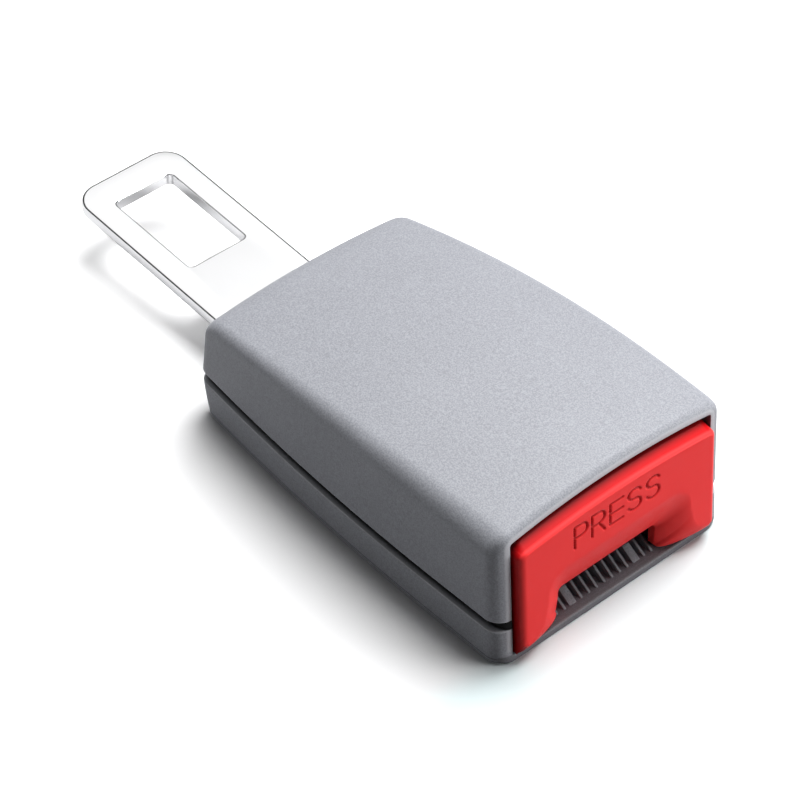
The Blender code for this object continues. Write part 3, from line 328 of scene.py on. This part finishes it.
def grey_plastic(name, tone=1.0, painted_highlight_heights=(0.0, 0.0), groove_floor=1.0, floor_shade=0.0):
    """Spark-eroded grey plastic: fine pits, faint mottling and a soft sheen. The sharp edges
    at the parting line and the rim carry a painted highlight; the parting groove, which is
    rougher, the floor under the button and the lip are painted shade. The painted highlight
    lies between two heights, and the groove's painted shade begins at a height."""
    plastic = Finish(name, Specular_IOR_Level=0.35)
    grain = plastic.noise(4200.0, 2.0, 0.55)
    pits = plastic.noise(2100.0, 1.0, 0.5)
    cloud = plastic.noise(60.0, 3.0, 0.6)
    speck = grain.between(0.36, 0.64) * 0.6 + pits.between(0.3, 0.7) * 0.18 + cloud * 0.26
    dark = (0.236 * tone, 0.242 * tone, 0.265 * tone, 1.0)
    light = (0.364 * tone, 0.374 * tone, 0.410 * tone, 1.0)
    painted_highlight_grey = (0.62, 0.63, 0.66, 1.0)
    painted_shade_grey = (0.045, 0.042, 0.045, 1.0)
    groove_shade_black = (0.006, 0.006, 0.006, 1.0)
    colour = plastic.blend(speck, dark, light)
    height = plastic.axis("Z")
    forward = plastic.axis("X") + height * rim_lean
    # Painted highlight: a light band along the parting-line edge between the two heights, and a light
    # line along the rim's edge.
    low, high = painted_highlight_heights
    at_edge = height.within((low - 0.1 * MM, low + 0.05 * MM), (high - 0.05 * MM, high + 0.1 * MM))
    at_rim = forward.between(rim_x - 0.22 * MM, rim_x - 0.06 * MM) * height.between(2 * MM, 3 * MM)
    colour = plastic.blend((at_edge * 0.75).maths("MAXIMUM", at_rim * 0.6), colour, painted_highlight_grey)
    # Painted shade: darker on the floor under the button and at the lip.
    on_floor = height.within((1.2 * MM, 1.3 * MM), (1.5 * MM, 1.6 * MM))
    low_down = 1 - height.between(1.6 * MM, 2.0 * MM)
    at_lip = forward.between(rim_x - 1.2 * MM, rim_x - 0.8 * MM) * low_down
    shaded = (on_floor * floor_shade).maths("MAXIMUM", at_lip * 0.62)
    colour = plastic.blend(shaded, colour, painted_shade_grey)
    # Painted shade: the parting groove is coloured near-black; it is also rougher.
    in_groove = height.between(groove_floor, groove_floor + 0.1 * MM)
    plastic.set("Base Color", plastic.blend(in_groove, colour, groove_shade_black))
    plastic.set("Roughness", (grain * 0.18 + 0.46).maths("MAXIMUM", in_groove * 0.95))
    plastic.set("Normal", plastic.bump(grain * 0.6 + pits * 0.5, 0.05 * MM, 0.55))
    return plastic.material


# Painted highlight along the cover's lower edge at the parting line.
upper_plastic = grey_plastic("upper_cover_grey_plastic", painted_highlight_heights=(8.95 * MM, 9.18 * MM))
upper_cover.data.materials.append(upper_plastic)
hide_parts("upper_cover")
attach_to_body(upper_cover, "housing")

# Lower cover: the tray half of the housing in the same grey plastic. Its floor ends
# in a lip below the button, its rabbet wall stands inside the upper cover, and its
# rear wall is notched for the tongue. A separate loop of the same shell makes it.
parting = 7.2 * MM
notch_floor = 5.4 * MM
notch_half = 11.4 * MM
bottom_round = 1.3 * MM
rabbet_height = 10.7 * MM
floor_thickness = 1.4 * MM
rear_corner = rear_round * (1 - np.cos(np.linspace(math.pi / 2, 0, 13)))
lower_run = np.linspace(rim_x - front_round, rear_x + rear_round, 42)[1:-1]
lower_x = np.concatenate([rim_x - front_turn, lower_run, rear_x + rear_corner])
notch_share = notch_half / (half_width(rear_x) - rear_round)
lower_closing = np.concatenate([np.linspace(1, notch_share, 6)[1:],
                                np.linspace(notch_share, 0, 8)])
notched = np.concatenate([np.zeros(len(lower_x) + 5), np.ones(8)])[:, None]
lower_share = np.concatenate([np.ones(len(lower_x)), lower_closing])[:, None]
lower_x = np.concatenate([lower_x, np.full(len(lower_closing), rear_x)])[:, None]
from_rim, from_rear = rim_x - lower_x, lower_x - rear_x

tray_wall = np.linspace(0, 1, 10)
tray_bend = np.linspace(0, math.pi / 2, 9)[1:]
tray_floor = np.linspace(1, 0, 24)[1:]


def tray(half, top, bottom, radius):
    """Points (y, z) of a tray at each station: down the wall, round the bottom edge
    and across the floor, mirrored about the middle."""
    wall_z = top + (bottom + radius - top) * tray_wall
    bend_y = half - radius * (1 - np.cos(tray_bend))
    bend_z = bottom + radius * (1 - np.sin(tray_bend))
    floor_y = (half - radius) * tray_floor
    y = np.concatenate([half + 0 * wall_z, bend_y, floor_y], axis=1)
    z = np.concatenate([wall_z, bend_z, bottom + 0 * floor_y], axis=1)
    return (np.concatenate([-y, y[:, -2::-1]], axis=1),
            np.concatenate([z, z[:, -2::-1]], axis=1))


def raised(z, top, bottom, edge):
    """On the rear face the tray's heights close in between the edge and a floor that
    rises to the notch."""
    floor = bottom + (notch_floor - bottom) * (1 - lower_share)
    return edge - (top - z) / (top - bottom) * (edge - floor)


tray_half = half_width(lower_x) - rounding(from_rim, front_round) - rounding(from_rear, rear_round)
tray_bottom = rounding(from_rim, edge_break) + rounding(from_rear, bottom_round)
top_out = parting - edge_break
y_out, z_out = tray(tray_half, top_out, tray_bottom, bottom_round + 0 * lower_x)
edge_out = np.where(notched > 0, notch_floor, top_out)
z_out = raised(z_out, top_out, 0.0, edge_out)
y_out = y_out * lower_share

inner_corner = rear_round - side_thickness
tray_inner_x = np.where(from_rear < rear_round,
                        rear_x + side_thickness + from_rear * inner_corner / rear_round, lower_x)
tray_in_half = half_width(tray_inner_x) - wall_thickness(from_rim)
floor_in = floor_thickness - rounding(from_rim, edge_break)
y_in, z_in = tray(tray_in_half, rabbet_height, floor_in, 0.4 * MM + 0 * lower_x)
edge_in = np.where(notched > 0, notch_floor, rabbet_height)
z_in = raised(z_in, rabbet_height, floor_thickness, edge_in)
y_in = y_in * lower_share


def tray_edge(shares, heights):
    """The tray's top edge on the right, from the outer wall to the rabbet's inside."""
    shares = np.array(shares)
    x = lower_x + (tray_inner_x - lower_x) * shares
    y = y_out[:, -1:] + (y_in[:, -1:] - y_out[:, -1:]) * shares
    z = np.where(notched > 0, notch_floor, np.array(heights) * MM)
    return x, y, z + 0 * x


right_edge = tray_edge([0.035, 0.125, 0.54, 0.54], [7.08, 7.16, 7.28, 10.7])
left_edge = [part[:, ::-1] for part in right_edge]
x = np.concatenate([lower_x + 0 * y_out, right_edge[0], tray_inner_x + 0 * y_in, left_edge[0]], axis=1)
y = np.concatenate([y_out, right_edge[1], y_in[:, ::-1], -left_edge[1]], axis=1)
z = np.concatenate([z_out, right_edge[2], z_in[:, ::-1], left_edge[2]], axis=1)
lower_cover = swept("housing_lower_shell", np.stack(leaned(x, y, z), axis=-1), caps=[0])
# Painted highlight along the tray's top edge; painted shade in the groove, on the floor under the button
# and at the lip.
lower_plastic = grey_plastic("lower_cover_grey_plastic", painted_highlight_heights=(7.00 * MM, 7.16 * MM),
                             groove_floor=7.17 * MM, floor_shade=0.55)
lower_cover.data.materials.append(lower_plastic)
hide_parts("lower_cover")
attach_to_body(lower_cover, "housing")

# Comb: fifteen ribs moulded on the lower cover's floor under the mouth, with ramped
# fronts that lead the belt's tongue in. Two of them are three times as wide, and the
# outermost two are low, so that the button's feet pass over them.
one_side_y = np.array([0, 1.69, 3.38, 5.06, 7.0, 8.75, 10.44, 12.13]) * MM
rib_y = np.concatenate([-one_side_y[:0:-1], one_side_y])
rib_width = np.where(np.isclose(abs(rib_y), one_side_y[4]), 1.5 * MM, 0.5 * MM)
rib_height = np.where(np.isclose(abs(rib_y), one_side_y[-1]), 1.9 * MM, 3.2 * MM)
foot_x, ramp_top, rear_end = rim_x - 1.85 * MM, rim_x - 4.45 * MM, rim_x - 7.85 * MM
root, nose = 1.3 * MM, 1.5 * MM
rib_line = np.array([[rear_end, root], [foot_x, root], [foot_x, nose], [ramp_top, 0], [rear_end, 0]])
points = np.zeros((len(rib_y), 2, len(rib_line), 3))
points[..., 0] = rib_line[:, 0]
points[..., 2] = rib_line[:, 1]
points[..., 3:, 2] = rib_height[:, None, None]
points[..., 1] = (rib_y[:, None] + np.outer(rib_width / 2, [-1, 1]))[:, :, None]
count = len(rib_line)
faces = []
for rib in range(len(rib_y)):
    first = rib * 2 * count
    faces.append([first + k for k in range(count)])
    faces.append([first + count + k for k in range(count)])
    faces += [[first + k, first + (k + 1) % count, first + count + (k + 1) % count,
               first + count + k] for k in range(count)]
comb = skinned("mouth_rib_comb", points.reshape(-1, 3), faces)
rib_edges = comb.modifiers.new("rib edges", "BEVEL")
rib_edges.width = 0.08 * MM
rib_edges.segments = 2
rib_edges.limit_method = "ANGLE"
# The comb's grey is painted darker, as painted shade inside the mouth.
comb.data.materials.append(grey_plastic("comb_shaded_grey_plastic", tone=0.6))
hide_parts("lower_cover")
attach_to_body(comb, "housing")

# Release button: red glossy plastic, moulded in one piece as a thick face block with a
# skirt that slides under the roof. Curves run from the middle of the top, round a
# corner and down to the outside of the foot, and the skin joins them in order.
face_x = 62.6088 * MM


def face_at(z):
    """The front face's place at a height: it leans back as the rim does."""
    return face_x - rim_lean * z


along_top = np.linspace(0, 1, 108)[:-1]
along_corner = np.linspace(0, 1, 13)[:-1]
along_side = np.linspace(0, 1, 18)[:-1]
along_foot = np.linspace(0, 1, 15)


def curve(top_y, top_z, side_y, corner, side_end, foot_end, flare):
    """Points (y, z) of one curve: straight top, elliptic corner, side down to its end and
    foot running out to its end; the flare bends the foot from down to outwards."""
    quarter = along_corner * math.pi / 2
    middle_y, middle_z = side_y - corner[0], top_z - corner[1]
    foot = along_foot * math.pi / 2
    foot_y = side_end[0] + (foot_end[0] - side_end[0]) * (1 - np.cos(foot)) ** flare
    foot_z = side_end[1] + (foot_end[1] - side_end[1]) * np.sin(foot) ** flare
    down_y = side_y + (side_end[0] - side_y) * along_side ** 2
    down_z = middle_z + (side_end[1] - middle_z) * along_side
    y = np.concatenate([top_y * along_top, middle_y + corner[0] * np.sin(quarter), down_y, foot_y])
    z = np.concatenate([top_z + 0 * along_top, middle_z + corner[1] * np.cos(quarter), down_z, foot_z])
    return y * MM, z * MM


def crowned(y, z):
    """Lowers a curve by the crown, 1.4 mm at 21.21 mm from the middle and as the square of
    that distance, and in full only 8.5 mm above the crease."""
    share = np.clip((z - 15 * MM) / (8.5 * MM), 0, 1)
    return z - 1.4 * MM * share * (y / (21.21 * MM)) ** 2


mouth_y, mouth_z = curve(9.67, 7.45, 10.67, corner=(1.0, 1.0), side_end=(10.9, 2.4),
                         foot_end=(20.9, 1.75), flare=0.9)
funnel_y, funnel_z = curve(11.2, 15.0, 15.6, corner=(4.4, 4.0), side_end=(16.1, 8.6),
                           foot_end=(19.8, 3.9), flare=0.85)
panel_y, panel_z = curve(19.3, 23.3, 20.0, corner=(0.7, 0.7), side_end=(20.0, 8.6),
                         foot_end=(20.0, 3.9), flare=1.0)
panel_z = crowned(panel_y, panel_z)
blocks = [len(along_top), len(along_corner), len(along_side) + len(along_foot)]
corner_turn = np.concatenate([np.zeros(blocks[0]), along_corner * math.pi / 2,
                              np.full(blocks[2], math.pi / 2)])
out_y, out_z = np.sin(corner_turn), np.cos(corner_turn)
side_share = out_y ** 2

rows = []


def row(x, y, z):
    """Adds one curve of the button's skin, at a place or places along its length."""
    rows.append(np.stack([x + 0 * y, y + 0 * x, z + 0 * x], axis=-1))


mouth_back = face_x - 5 * MM
toward_foot = np.concatenate([np.zeros(len(mouth_y) - len(along_foot)), np.sin(along_foot * math.pi / 2)])
sink = 3.0 * MM + 0.5 * MM * np.clip((6 * MM - mouth_z) / (4 * MM), 0, 1)
mouth_x = face_at(mouth_z) - sink + (sink - 1.4 * MM) * toward_foot ** 0.8
for share in np.linspace(1, 0, 6)[:-1]:
    row(mouth_back * share + (mouth_x - 0.25 * MM) * (1 - share), mouth_y, mouth_z)

# The funnel falls from its crease to the mouth in a shallow hollow with a soft edge.
mouth_depth = face_at(mouth_z) - mouth_x
at_top = 1 - np.clip((np.arange(len(mouth_y)) - len(along_top) * 0.8) / (len(along_top) * 0.3), 0, 1)
softness = 1.45 - 0.15 * at_top
for share in np.linspace(0, 1, 20):
    y = mouth_y + (funnel_y - mouth_y) * share
    z = mouth_z + (funnel_z - mouth_z) * share
    edge = 0.12 * MM * (1 - share) ** 8
    row(face_at(z) - mouth_depth * (1 - share) ** softness - edge, y, z)

# The word PRESS stands above the funnel, cut with a round tool.
letter_width, letter_height, baseline = 2.7 * MM, 4.1 * MM, 17.45 * MM
stroke_half, stroke_depth = 0.30 * MM, 0.36 * MM


def arc(centre, size, start, end, count=16):
    """Points of an elliptic arc between two angles in degrees."""
    angle = np.radians(np.linspace(start, end, count))
    return np.stack([centre[0] + size[0] * np.cos(angle), centre[1] + size[1] * np.sin(angle)], -1)


def line(*corners):
    """Points along straight strokes from corner to corner."""
    corners = np.array(corners, float)
    steps = np.linspace(0, 1, 12)[:, None]
    return np.concatenate([a + (b - a) * steps for a, b in zip(corners, corners[1:])])


bowl = [line((0, 1), (0.5, 1)), arc((0.5, 0.73), (0.5, 0.27), 90, -90), line((0.5, 0.46), (0, 0.46))]
stem = [line((0, 0), (0, 1))]
bars = [line((0, level), (1, level)) for level in (0, 0.5, 1)]
snake = [arc((0.5, 0.76), (0.5, 0.24), 20, 270), arc((0.5, 0.26), (0.5, 0.26), 90, -160)]
letters = [(-9.9, stem + bowl), (-6.2, stem + bowl + [line((0.55, 0.46), (1, 0))]),
           (-2.3, stem + bars), (1.6, snake), (5.6, snake)]
strokes = np.concatenate([
    np.concatenate(shapes) * [letter_width, letter_height] + [start * MM, baseline]
    for start, shapes in letters])


def engraved(y, z):
    """Share of the groove's depth: 1 less the square of the distance from the nearest
    stroke over the groove's half width."""
    near = np.sqrt(((np.stack([y, z], -1)[:, None] - strokes) ** 2).sum(-1)).min(1)
    return np.clip(1 - (near / stroke_half) ** 2, 0, 1)


face_rows = 81
for share in np.linspace(0, 1, face_rows + 1)[1:]:
    y = funnel_y + (panel_y - funnel_y) * share
    z = funnel_z + (panel_z - funnel_z) * share
    row(face_at(z), y, z)
first_face_row = len(rows) - face_rows


def footed(x, z):
    """Lowers the side wall's foot behind the face, by up to 2.15 mm over a run of 0.9 mm,
    so that its lower edge falls from the bevel to the sole."""
    fall = 2.15 * MM * np.clip((face_x - 0.6 * MM - x) / (0.9 * MM), 0, 1)
    return z - fall * toward_foot ** 1.5 * side_share


# Rounded crease and side edges, then the sloping bevel and the skirt behind it.
edge_radius = (0.5 + 0.7 * side_share) * MM
full_turn = np.radians(65 + 25 * side_share)
for step in np.linspace(0, 1, 8)[1:]:
    angle = full_turn * step
    reach = edge_radius * np.sin(angle)
    x = face_at(panel_z) - edge_radius * (1 - np.cos(angle))
    row(x, panel_y + out_y * reach, footed(x, panel_z + out_z * reach))
bevel_x, skirt_y, bevel_z = x, panel_y + out_y * reach, panel_z + out_z * reach
for step in np.linspace(0, 1, 9)[1:]:
    x = bevel_x - 3.0 * MM * step
    row(x, skirt_y, footed(x, bevel_z + out_z * 1.4 * MM * step))
skirt_z = rows[-1][:, 2]
skirt_end = 46.0 * MM
for place_x in (57.4 * MM, 56.0 * MM, skirt_end):
    row(place_x, skirt_y, skirt_z)
inside_y = skirt_y - out_y * 1.6 * MM
inside_z = skirt_z - out_z * 2.3 * MM
row(skirt_end, inside_y, inside_z)
row(mouth_back, inside_y, inside_z)

half = np.stack(rows, axis=0)
mirror = half[:, :0:-1] * [1, -1, 1]
whole = np.concatenate([mirror, half], axis=1)
grooves = np.zeros(whole.shape[:2])
for index in range(first_face_row, first_face_row + face_rows):
    grooves[index] = engraved(whole[index, :, 1], whole[index, :, 2])
whole[..., 0] -= stroke_depth * grooves
button = swept("red_press_button", whole.transpose(1, 0, 2), caps=[0, whole.shape[1] - 1],
               marks=grooves.T)
red = Finish("button_red_plastic", Specular_IOR_Level=0.10)
cloud = red.noise(90.0, 2.0, 0.5)
grain = red.noise(1800.0, 2.0, 0.5)
deep_red, clear_red = (0.90, 0.042, 0.043, 1.0), (0.97, 0.050, 0.051, 1.0)
shaded_bevel_red = (0.60, 0.005, 0.008, 1.0)
roof_shade_red = (0.09, 0.0005, 0.001, 1.0)
shaded_letter_red = (0.33, 0.004, 0.006, 1.0)
across, height = red.axis("Y").maths("ABSOLUTE"), red.axis("Z")
behind_face = face_x - red.axis("X") - height * rim_lean
top_skin, side_skin = height.between(22.2 * MM, 22.8 * MM), across.between(20.3 * MM, 20.7 * MM)
outer_skin = top_skin.maths("MAXIMUM", side_skin)
on_bevel = behind_face.between(0.4 * MM, 0.9 * MM) * outer_skin
under_roof = behind_face.between(0.9 * MM, 3.0 * MM) * outer_skin
in_letters = red.node("Attribute", {"attribute_name": "marks"}, output="Fac")
# Painted shade: the bevel is a darker red, and near-black red where it runs under the roof.
colour = red.blend(on_bevel, red.blend(cloud, deep_red, clear_red), shaded_bevel_red)
colour = red.blend(under_roof, colour, roof_shade_red)
# Painted shade: the engraved letters are a dark red.
red.set("Base Color", red.blend(in_letters * 0.8, colour, shaded_letter_red))
red.set("Roughness", grain * 0.12 + 0.34)
red.set("Normal", red.bump(grain, 0.02 * MM, 0.5))
button.data.materials.append(red.material)
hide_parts("release_button")
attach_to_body(button, "button")

# Tongue: a steel plate 2.6 mm thick, blanked with rounded edges and bright chrome
# plated, with the window that the car's own buckle latches into. Its skin is a ring
# between the window's outline and its own, pitched by 4.5 degrees with the housing.
pitch = math.radians(4.5)
tip_x, root_height = -62.4 * MM, 8.34 * MM
thickness, plate_edge, window_edge = 2.6 * MM, 0.7 * MM, 0.4 * MM
tongue_end = (tip_x - rear_x + thickness * math.sin(pitch)) / math.cos(pitch)


def rounded_box(low_x, high_x, half_y, radius_low, radius_high, inset=0.0):
    """Outline of a rectangle with rounded corners, moved inwards by an inset, with the
    same number of points for any sizes."""
    quarter = np.linspace(0, math.pi / 2, 13)
    runs = []
    for corner in range(4):
        right, top = corner in (0, 3), corner in (0, 1)
        radius = radius_high if right else radius_low
        x = high_x - radius if right else low_x + radius
        y = half_y - radius if top else -half_y + radius
        reach = max(radius - inset, 0.01 * MM)
        shrink = inset - (radius - reach)
        x += -shrink if right else shrink
        y += -shrink if top else shrink
        angle = corner * math.pi / 2 + quarter
        runs.append(np.stack([x + reach * np.cos(angle), y + reach * np.sin(angle)], -1))
    outline = []
    for run, following in zip(runs, runs[1:] + runs[:1]):
        between = np.linspace(0, 1, 12)[1:-1, None]
        outline += [run, run[-1] + (following[0] - run[-1]) * between]
    return np.concatenate(outline + [runs[0][:1]])


window = (tongue_end + 6.1 * MM, tongue_end + 26.8 * MM, 6.22 * MM, 1.0 * MM, 1.0 * MM)
plate = (tongue_end, 27.2 * MM, 11.0 * MM, 4.5 * MM, 1.0 * MM)
rings = []


def plate_ring(outline, inset, height):
    """A ring of the plate's skin: an outline moved inwards, at a height."""
    flat = rounded_box(*outline, inset)
    rings.append(np.concatenate([flat, np.full((len(flat), 1), height)], axis=1))


edge_turn = np.linspace(0, math.pi / 2, 7)
for angle in edge_turn:
    across, along = 1 - math.cos(angle), 1 - math.sin(angle)
    plate_ring(window, -window_edge * across, -window_edge * along)
for angle in edge_turn:
    across, along = 1 - math.sin(angle), 1 - math.cos(angle)
    plate_ring(plate, plate_edge * across, -plate_edge * along)
for angle in edge_turn:
    across, along = 1 - math.cos(angle), 1 - math.sin(angle)
    plate_ring(plate, plate_edge * across, -thickness + plate_edge * along)
for angle in edge_turn:
    across, along = 1 - math.sin(angle), 1 - math.cos(angle)
    plate_ring(window, -window_edge * across, -thickness + window_edge * along)
flat_plate = np.stack(rings, axis=1)
tongue_points = np.stack([
    rear_x + flat_plate[..., 0] * math.cos(pitch) + flat_plate[..., 2] * math.sin(pitch),
    flat_plate[..., 1],
    root_height - flat_plate[..., 0] * math.sin(pitch) + flat_plate[..., 2] * math.cos(pitch)], axis=-1)
tongue = swept("plated_tongue", tongue_points)
chrome = Finish("tongue_bright_chrome", Metallic=1.0)
cloud = chrome.noise(45.0, 3.0, 0.6)
haze = chrome.noise(900.0, 3.0, 0.6)
chrome.set("Base Color", chrome.blend(cloud, (0.93, 0.935, 0.945, 1.0), (0.98, 0.98, 0.985, 1.0)))
chrome.set("Roughness", haze * 0.05 + cloud * 0.05 + 0.08)
chrome.set("Normal", chrome.bump(cloud, 0.03 * MM, 0.25))
tongue.data.materials.append(chrome.material)
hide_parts("tongue_blade")
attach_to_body(tongue, "housing")


# Works inside the housing: a frame, latch, pins and rivets of zinc plated steel and a
# black slider, which keep the imported shapes, and four springs coiled from bright wire,
# which take the place of the imported ones.
def dress(names, material):
    """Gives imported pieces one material."""
    for name in names:
        slots = bpy.data.objects[name].data.materials
        slots.clear()
        slots.append(material)


zinc = Finish("zinc_plated_steel", Metallic=1.0)
crystal = zinc.noise(700.0, 4.0, 0.6)
patch = zinc.noise(120.0, 2.0, 0.5)
zinc.set("Base Color", zinc.blend(patch, (0.40, 0.41, 0.43, 1.0), (0.58, 0.59, 0.61, 1.0)))
zinc.set("Roughness", crystal * 0.2 + 0.28)
zinc.set("Normal", zinc.bump(crystal, 0.02 * MM, 0.4))
dress(["buckle_frame", "rivet_left", "rivet_right", "latch", "latch_pin", "lock_bar"], zinc.material)

wire = Finish("bright_spring_wire", Metallic=1.0)
drawn = wire.noise(1500.0, 2.0, 0.5)
wire.set("Base Color", wire.blend(drawn, (0.38, 0.38, 0.39, 1.0), (0.52, 0.52, 0.53, 1.0)))
wire.set("Roughness", drawn * 0.15 + 0.25)


def coil_spring(node, axis, turns, wire_radius):
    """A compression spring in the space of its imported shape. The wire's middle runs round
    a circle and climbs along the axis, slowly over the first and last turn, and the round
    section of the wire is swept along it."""
    corners = np.array([list(corner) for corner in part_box(node)])
    first, second = (other for other in range(3) if other != axis)
    along, across, sideways = np.eye(3)[[axis, first, second]]
    middle = corners.mean(axis=0) * (1 - along)
    length = corners[1, axis] - corners[0, axis]
    radius = (corners[1, second] - corners[0, second]) / 2 - wire_radius
    share = np.linspace(0, 1, turns * 24 + 1)
    closed = 2 * wire_radius / length
    climbed = np.interp(share, [0, 1 / turns, 1 - 1 / turns, 1], [0, closed, 1 - closed, 1])
    place = corners[0, axis] + wire_radius + (length - 2 * wire_radius) * climbed
    turn = 2 * math.pi * turns * share[:, None]
    outward = np.cos(turn) * across + np.sin(turn) * sideways
    section = np.linspace(0, 2 * math.pi, 9)[:-1, None]
    reach = radius + wire_radius * np.cos(section)
    rise = place[:, None, None] + wire_radius * np.sin(section)
    coil = swept(node + "_coil", middle + outward[:, None] * reach + along * rise,
                 caps=[0, len(share) - 1])
    coil.data.materials.append(wire.material)
    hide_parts(node)
    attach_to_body(coil, "housing")
    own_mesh(coil)


coil_spring("ejector_spring", 0, 9, 0.30 * MM)
coil_spring("button_spring_left", 0, 8, 0.27 * MM)
coil_spring("button_spring_right", 0, 8, 0.27 * MM)
coil_spring("latch_spring", 2, 4, 0.30 * MM)

slider = Finish("black_slider_plastic")
matt = slider.noise(1800.0, 2.0, 0.5)
slider.set("Base Color", slider.blend(matt, (0.020, 0.020, 0.021, 1.0), (0.036, 0.036, 0.038, 1.0)))
slider.set("Roughness", matt * 0.15 + 0.42)
dress(["ejector"], slider.material)

# Table: a white sheet that catches the shadow. Polished parts see it light grey, and it
# throws little light back, so that the object's sides stay in shade. A slight tint before
# the button takes away its red cast; a faint glow at the rear thins the tongue's shadow.
sheet_mesh = bpy.data.meshes.new("white_table")
sheet_mesh.from_pydata([(-2, -2, 0), (2, -2, 0), (2, 2, 0), (-2, 2, 0)], [], [(0, 1, 2, 3)])
table = bpy.data.objects.new("white_table", sheet_mesh)
bpy.context.scene.collection.objects.link(table)
paper = Finish("table_white_paper", Roughness=0.9, Specular_IOR_Level=0.0, Emission_Strength=1.0)
camera_ray = paper.node("LightPath", output=0)
polished_ray = paper.node("LightPath", output=3)
seen_white, tinted_white = (0.97, 0.97, 0.975, 1.0), (0.84, 0.95, 0.96, 1.0)
bounced_grey, mirrored_grey = (0.20, 0.20, 0.205, 1.0), (0.58, 0.58, 0.59, 1.0)
unlit, glow = (0.0, 0.0, 0.0, 1.0), (0.33, 0.33, 0.33, 1.0)
length_along = paper.axis("X")
before_button = length_along.within((0.055, 0.062), (0.066, 0.090))
white = paper.blend(before_button, seen_white, tinted_white)
grey = paper.blend(polished_ray, bounced_grey, mirrored_grey)
paper.set("Base Color", paper.blend(camera_ray, grey, white))
rear_glow = (1 - length_along.between(-0.036, -0.012)) * camera_ray
paper.set("Emission Color", paper.blend(rear_glow, unlit, glow))
sheet_mesh.materials.append(paper.material)


# Studio: one broad soft box high at the right, a fill from the front right and a low weak
# one from the rear left. The surround is white for the camera and, high up, for polished
# parts; all else sees it nearly black.
def soft_box(name, position, target, size, watts):
    """A rectangular lamp at a position, turned to face its target."""
    lamp = bpy.data.lights.new(name, "AREA")
    lamp.shape = "RECTANGLE"
    lamp.size, lamp.size_y = size
    lamp.energy = watts
    holder = bpy.data.objects.new(name, lamp)
    holder.location = position
    holder.rotation_euler = (Vector(target) - Vector(position)).to_track_quat("-Z", "Y").to_euler()
    bpy.context.scene.collection.objects.link(holder)
    return holder


soft_box("high_soft_box", (-0.06, 0.395, 0.97), (0.0, 0.0, 0.0), (0.78, 0.78), 20.2)
soft_box("front_fill", (0.72, 0.62, 0.14), (0.06, 0.0, 0.01), (0.4, 0.25), 5.6)
low_fill = soft_box("rear_left_fill", (-0.30, -0.28, 0.032), (-0.02, 0.0, 0.01), (0.22, 0.055), 0.37)
low_fill.visible_glossy = False

surround = bpy.data.worlds.new("white_surround")
bpy.context.scene.world = surround
surround.use_nodes = True
sky = Nodes(surround.node_tree)
seen_directly = sky.node("LightPath", output=0)
seen_polished = sky.node("LightPath", output=3)
high_up = sky.axis("Z", "Generated").between(0.50, 0.66)
strength = seen_directly.maths("MAXIMUM", seen_polished * (high_up * 0.97 + 0.03))
backdrop = sky.tree.nodes["Background"]
backdrop.inputs["Color"].default_value = (1.0, 1.0, 1.0, 1.0)
attach(sky.tree, strength.maths("MAXIMUM", 0.03), backdrop.inputs["Strength"])

# Camera: a long lens from the front left and above, as the photograph was taken.
azimuth, elevation, roll = (math.radians(angle) for angle in (47.587, 42.822, 0.471))
right = Vector((math.cos(azimuth), math.sin(azimuth), 0.0))
back = Vector((math.sin(azimuth) * math.cos(elevation), -math.cos(azimuth) * math.cos(elevation),
               math.sin(elevation)))
up = back.cross(right)
rolled_right = math.cos(roll) * right + math.sin(roll) * up
rolled_up = math.cos(roll) * up - math.sin(roll) * right
lens = bpy.data.cameras.new("photo_camera")
lens.sensor_width = 36.0
lens.lens = 147.6
camera = bpy.data.objects.new("photo_camera", lens)
turned = Matrix((rolled_right, rolled_up, back)).transposed().to_4x4()
camera_place = Matrix.Translation((0.302185, -0.266208, 0.372986))
camera.matrix_world = camera_place @ turned
bpy.context.scene.collection.objects.link(camera)
bpy.context.scene.camera = camera
bpy.context.scene.view_settings.view_transform = "Standard"
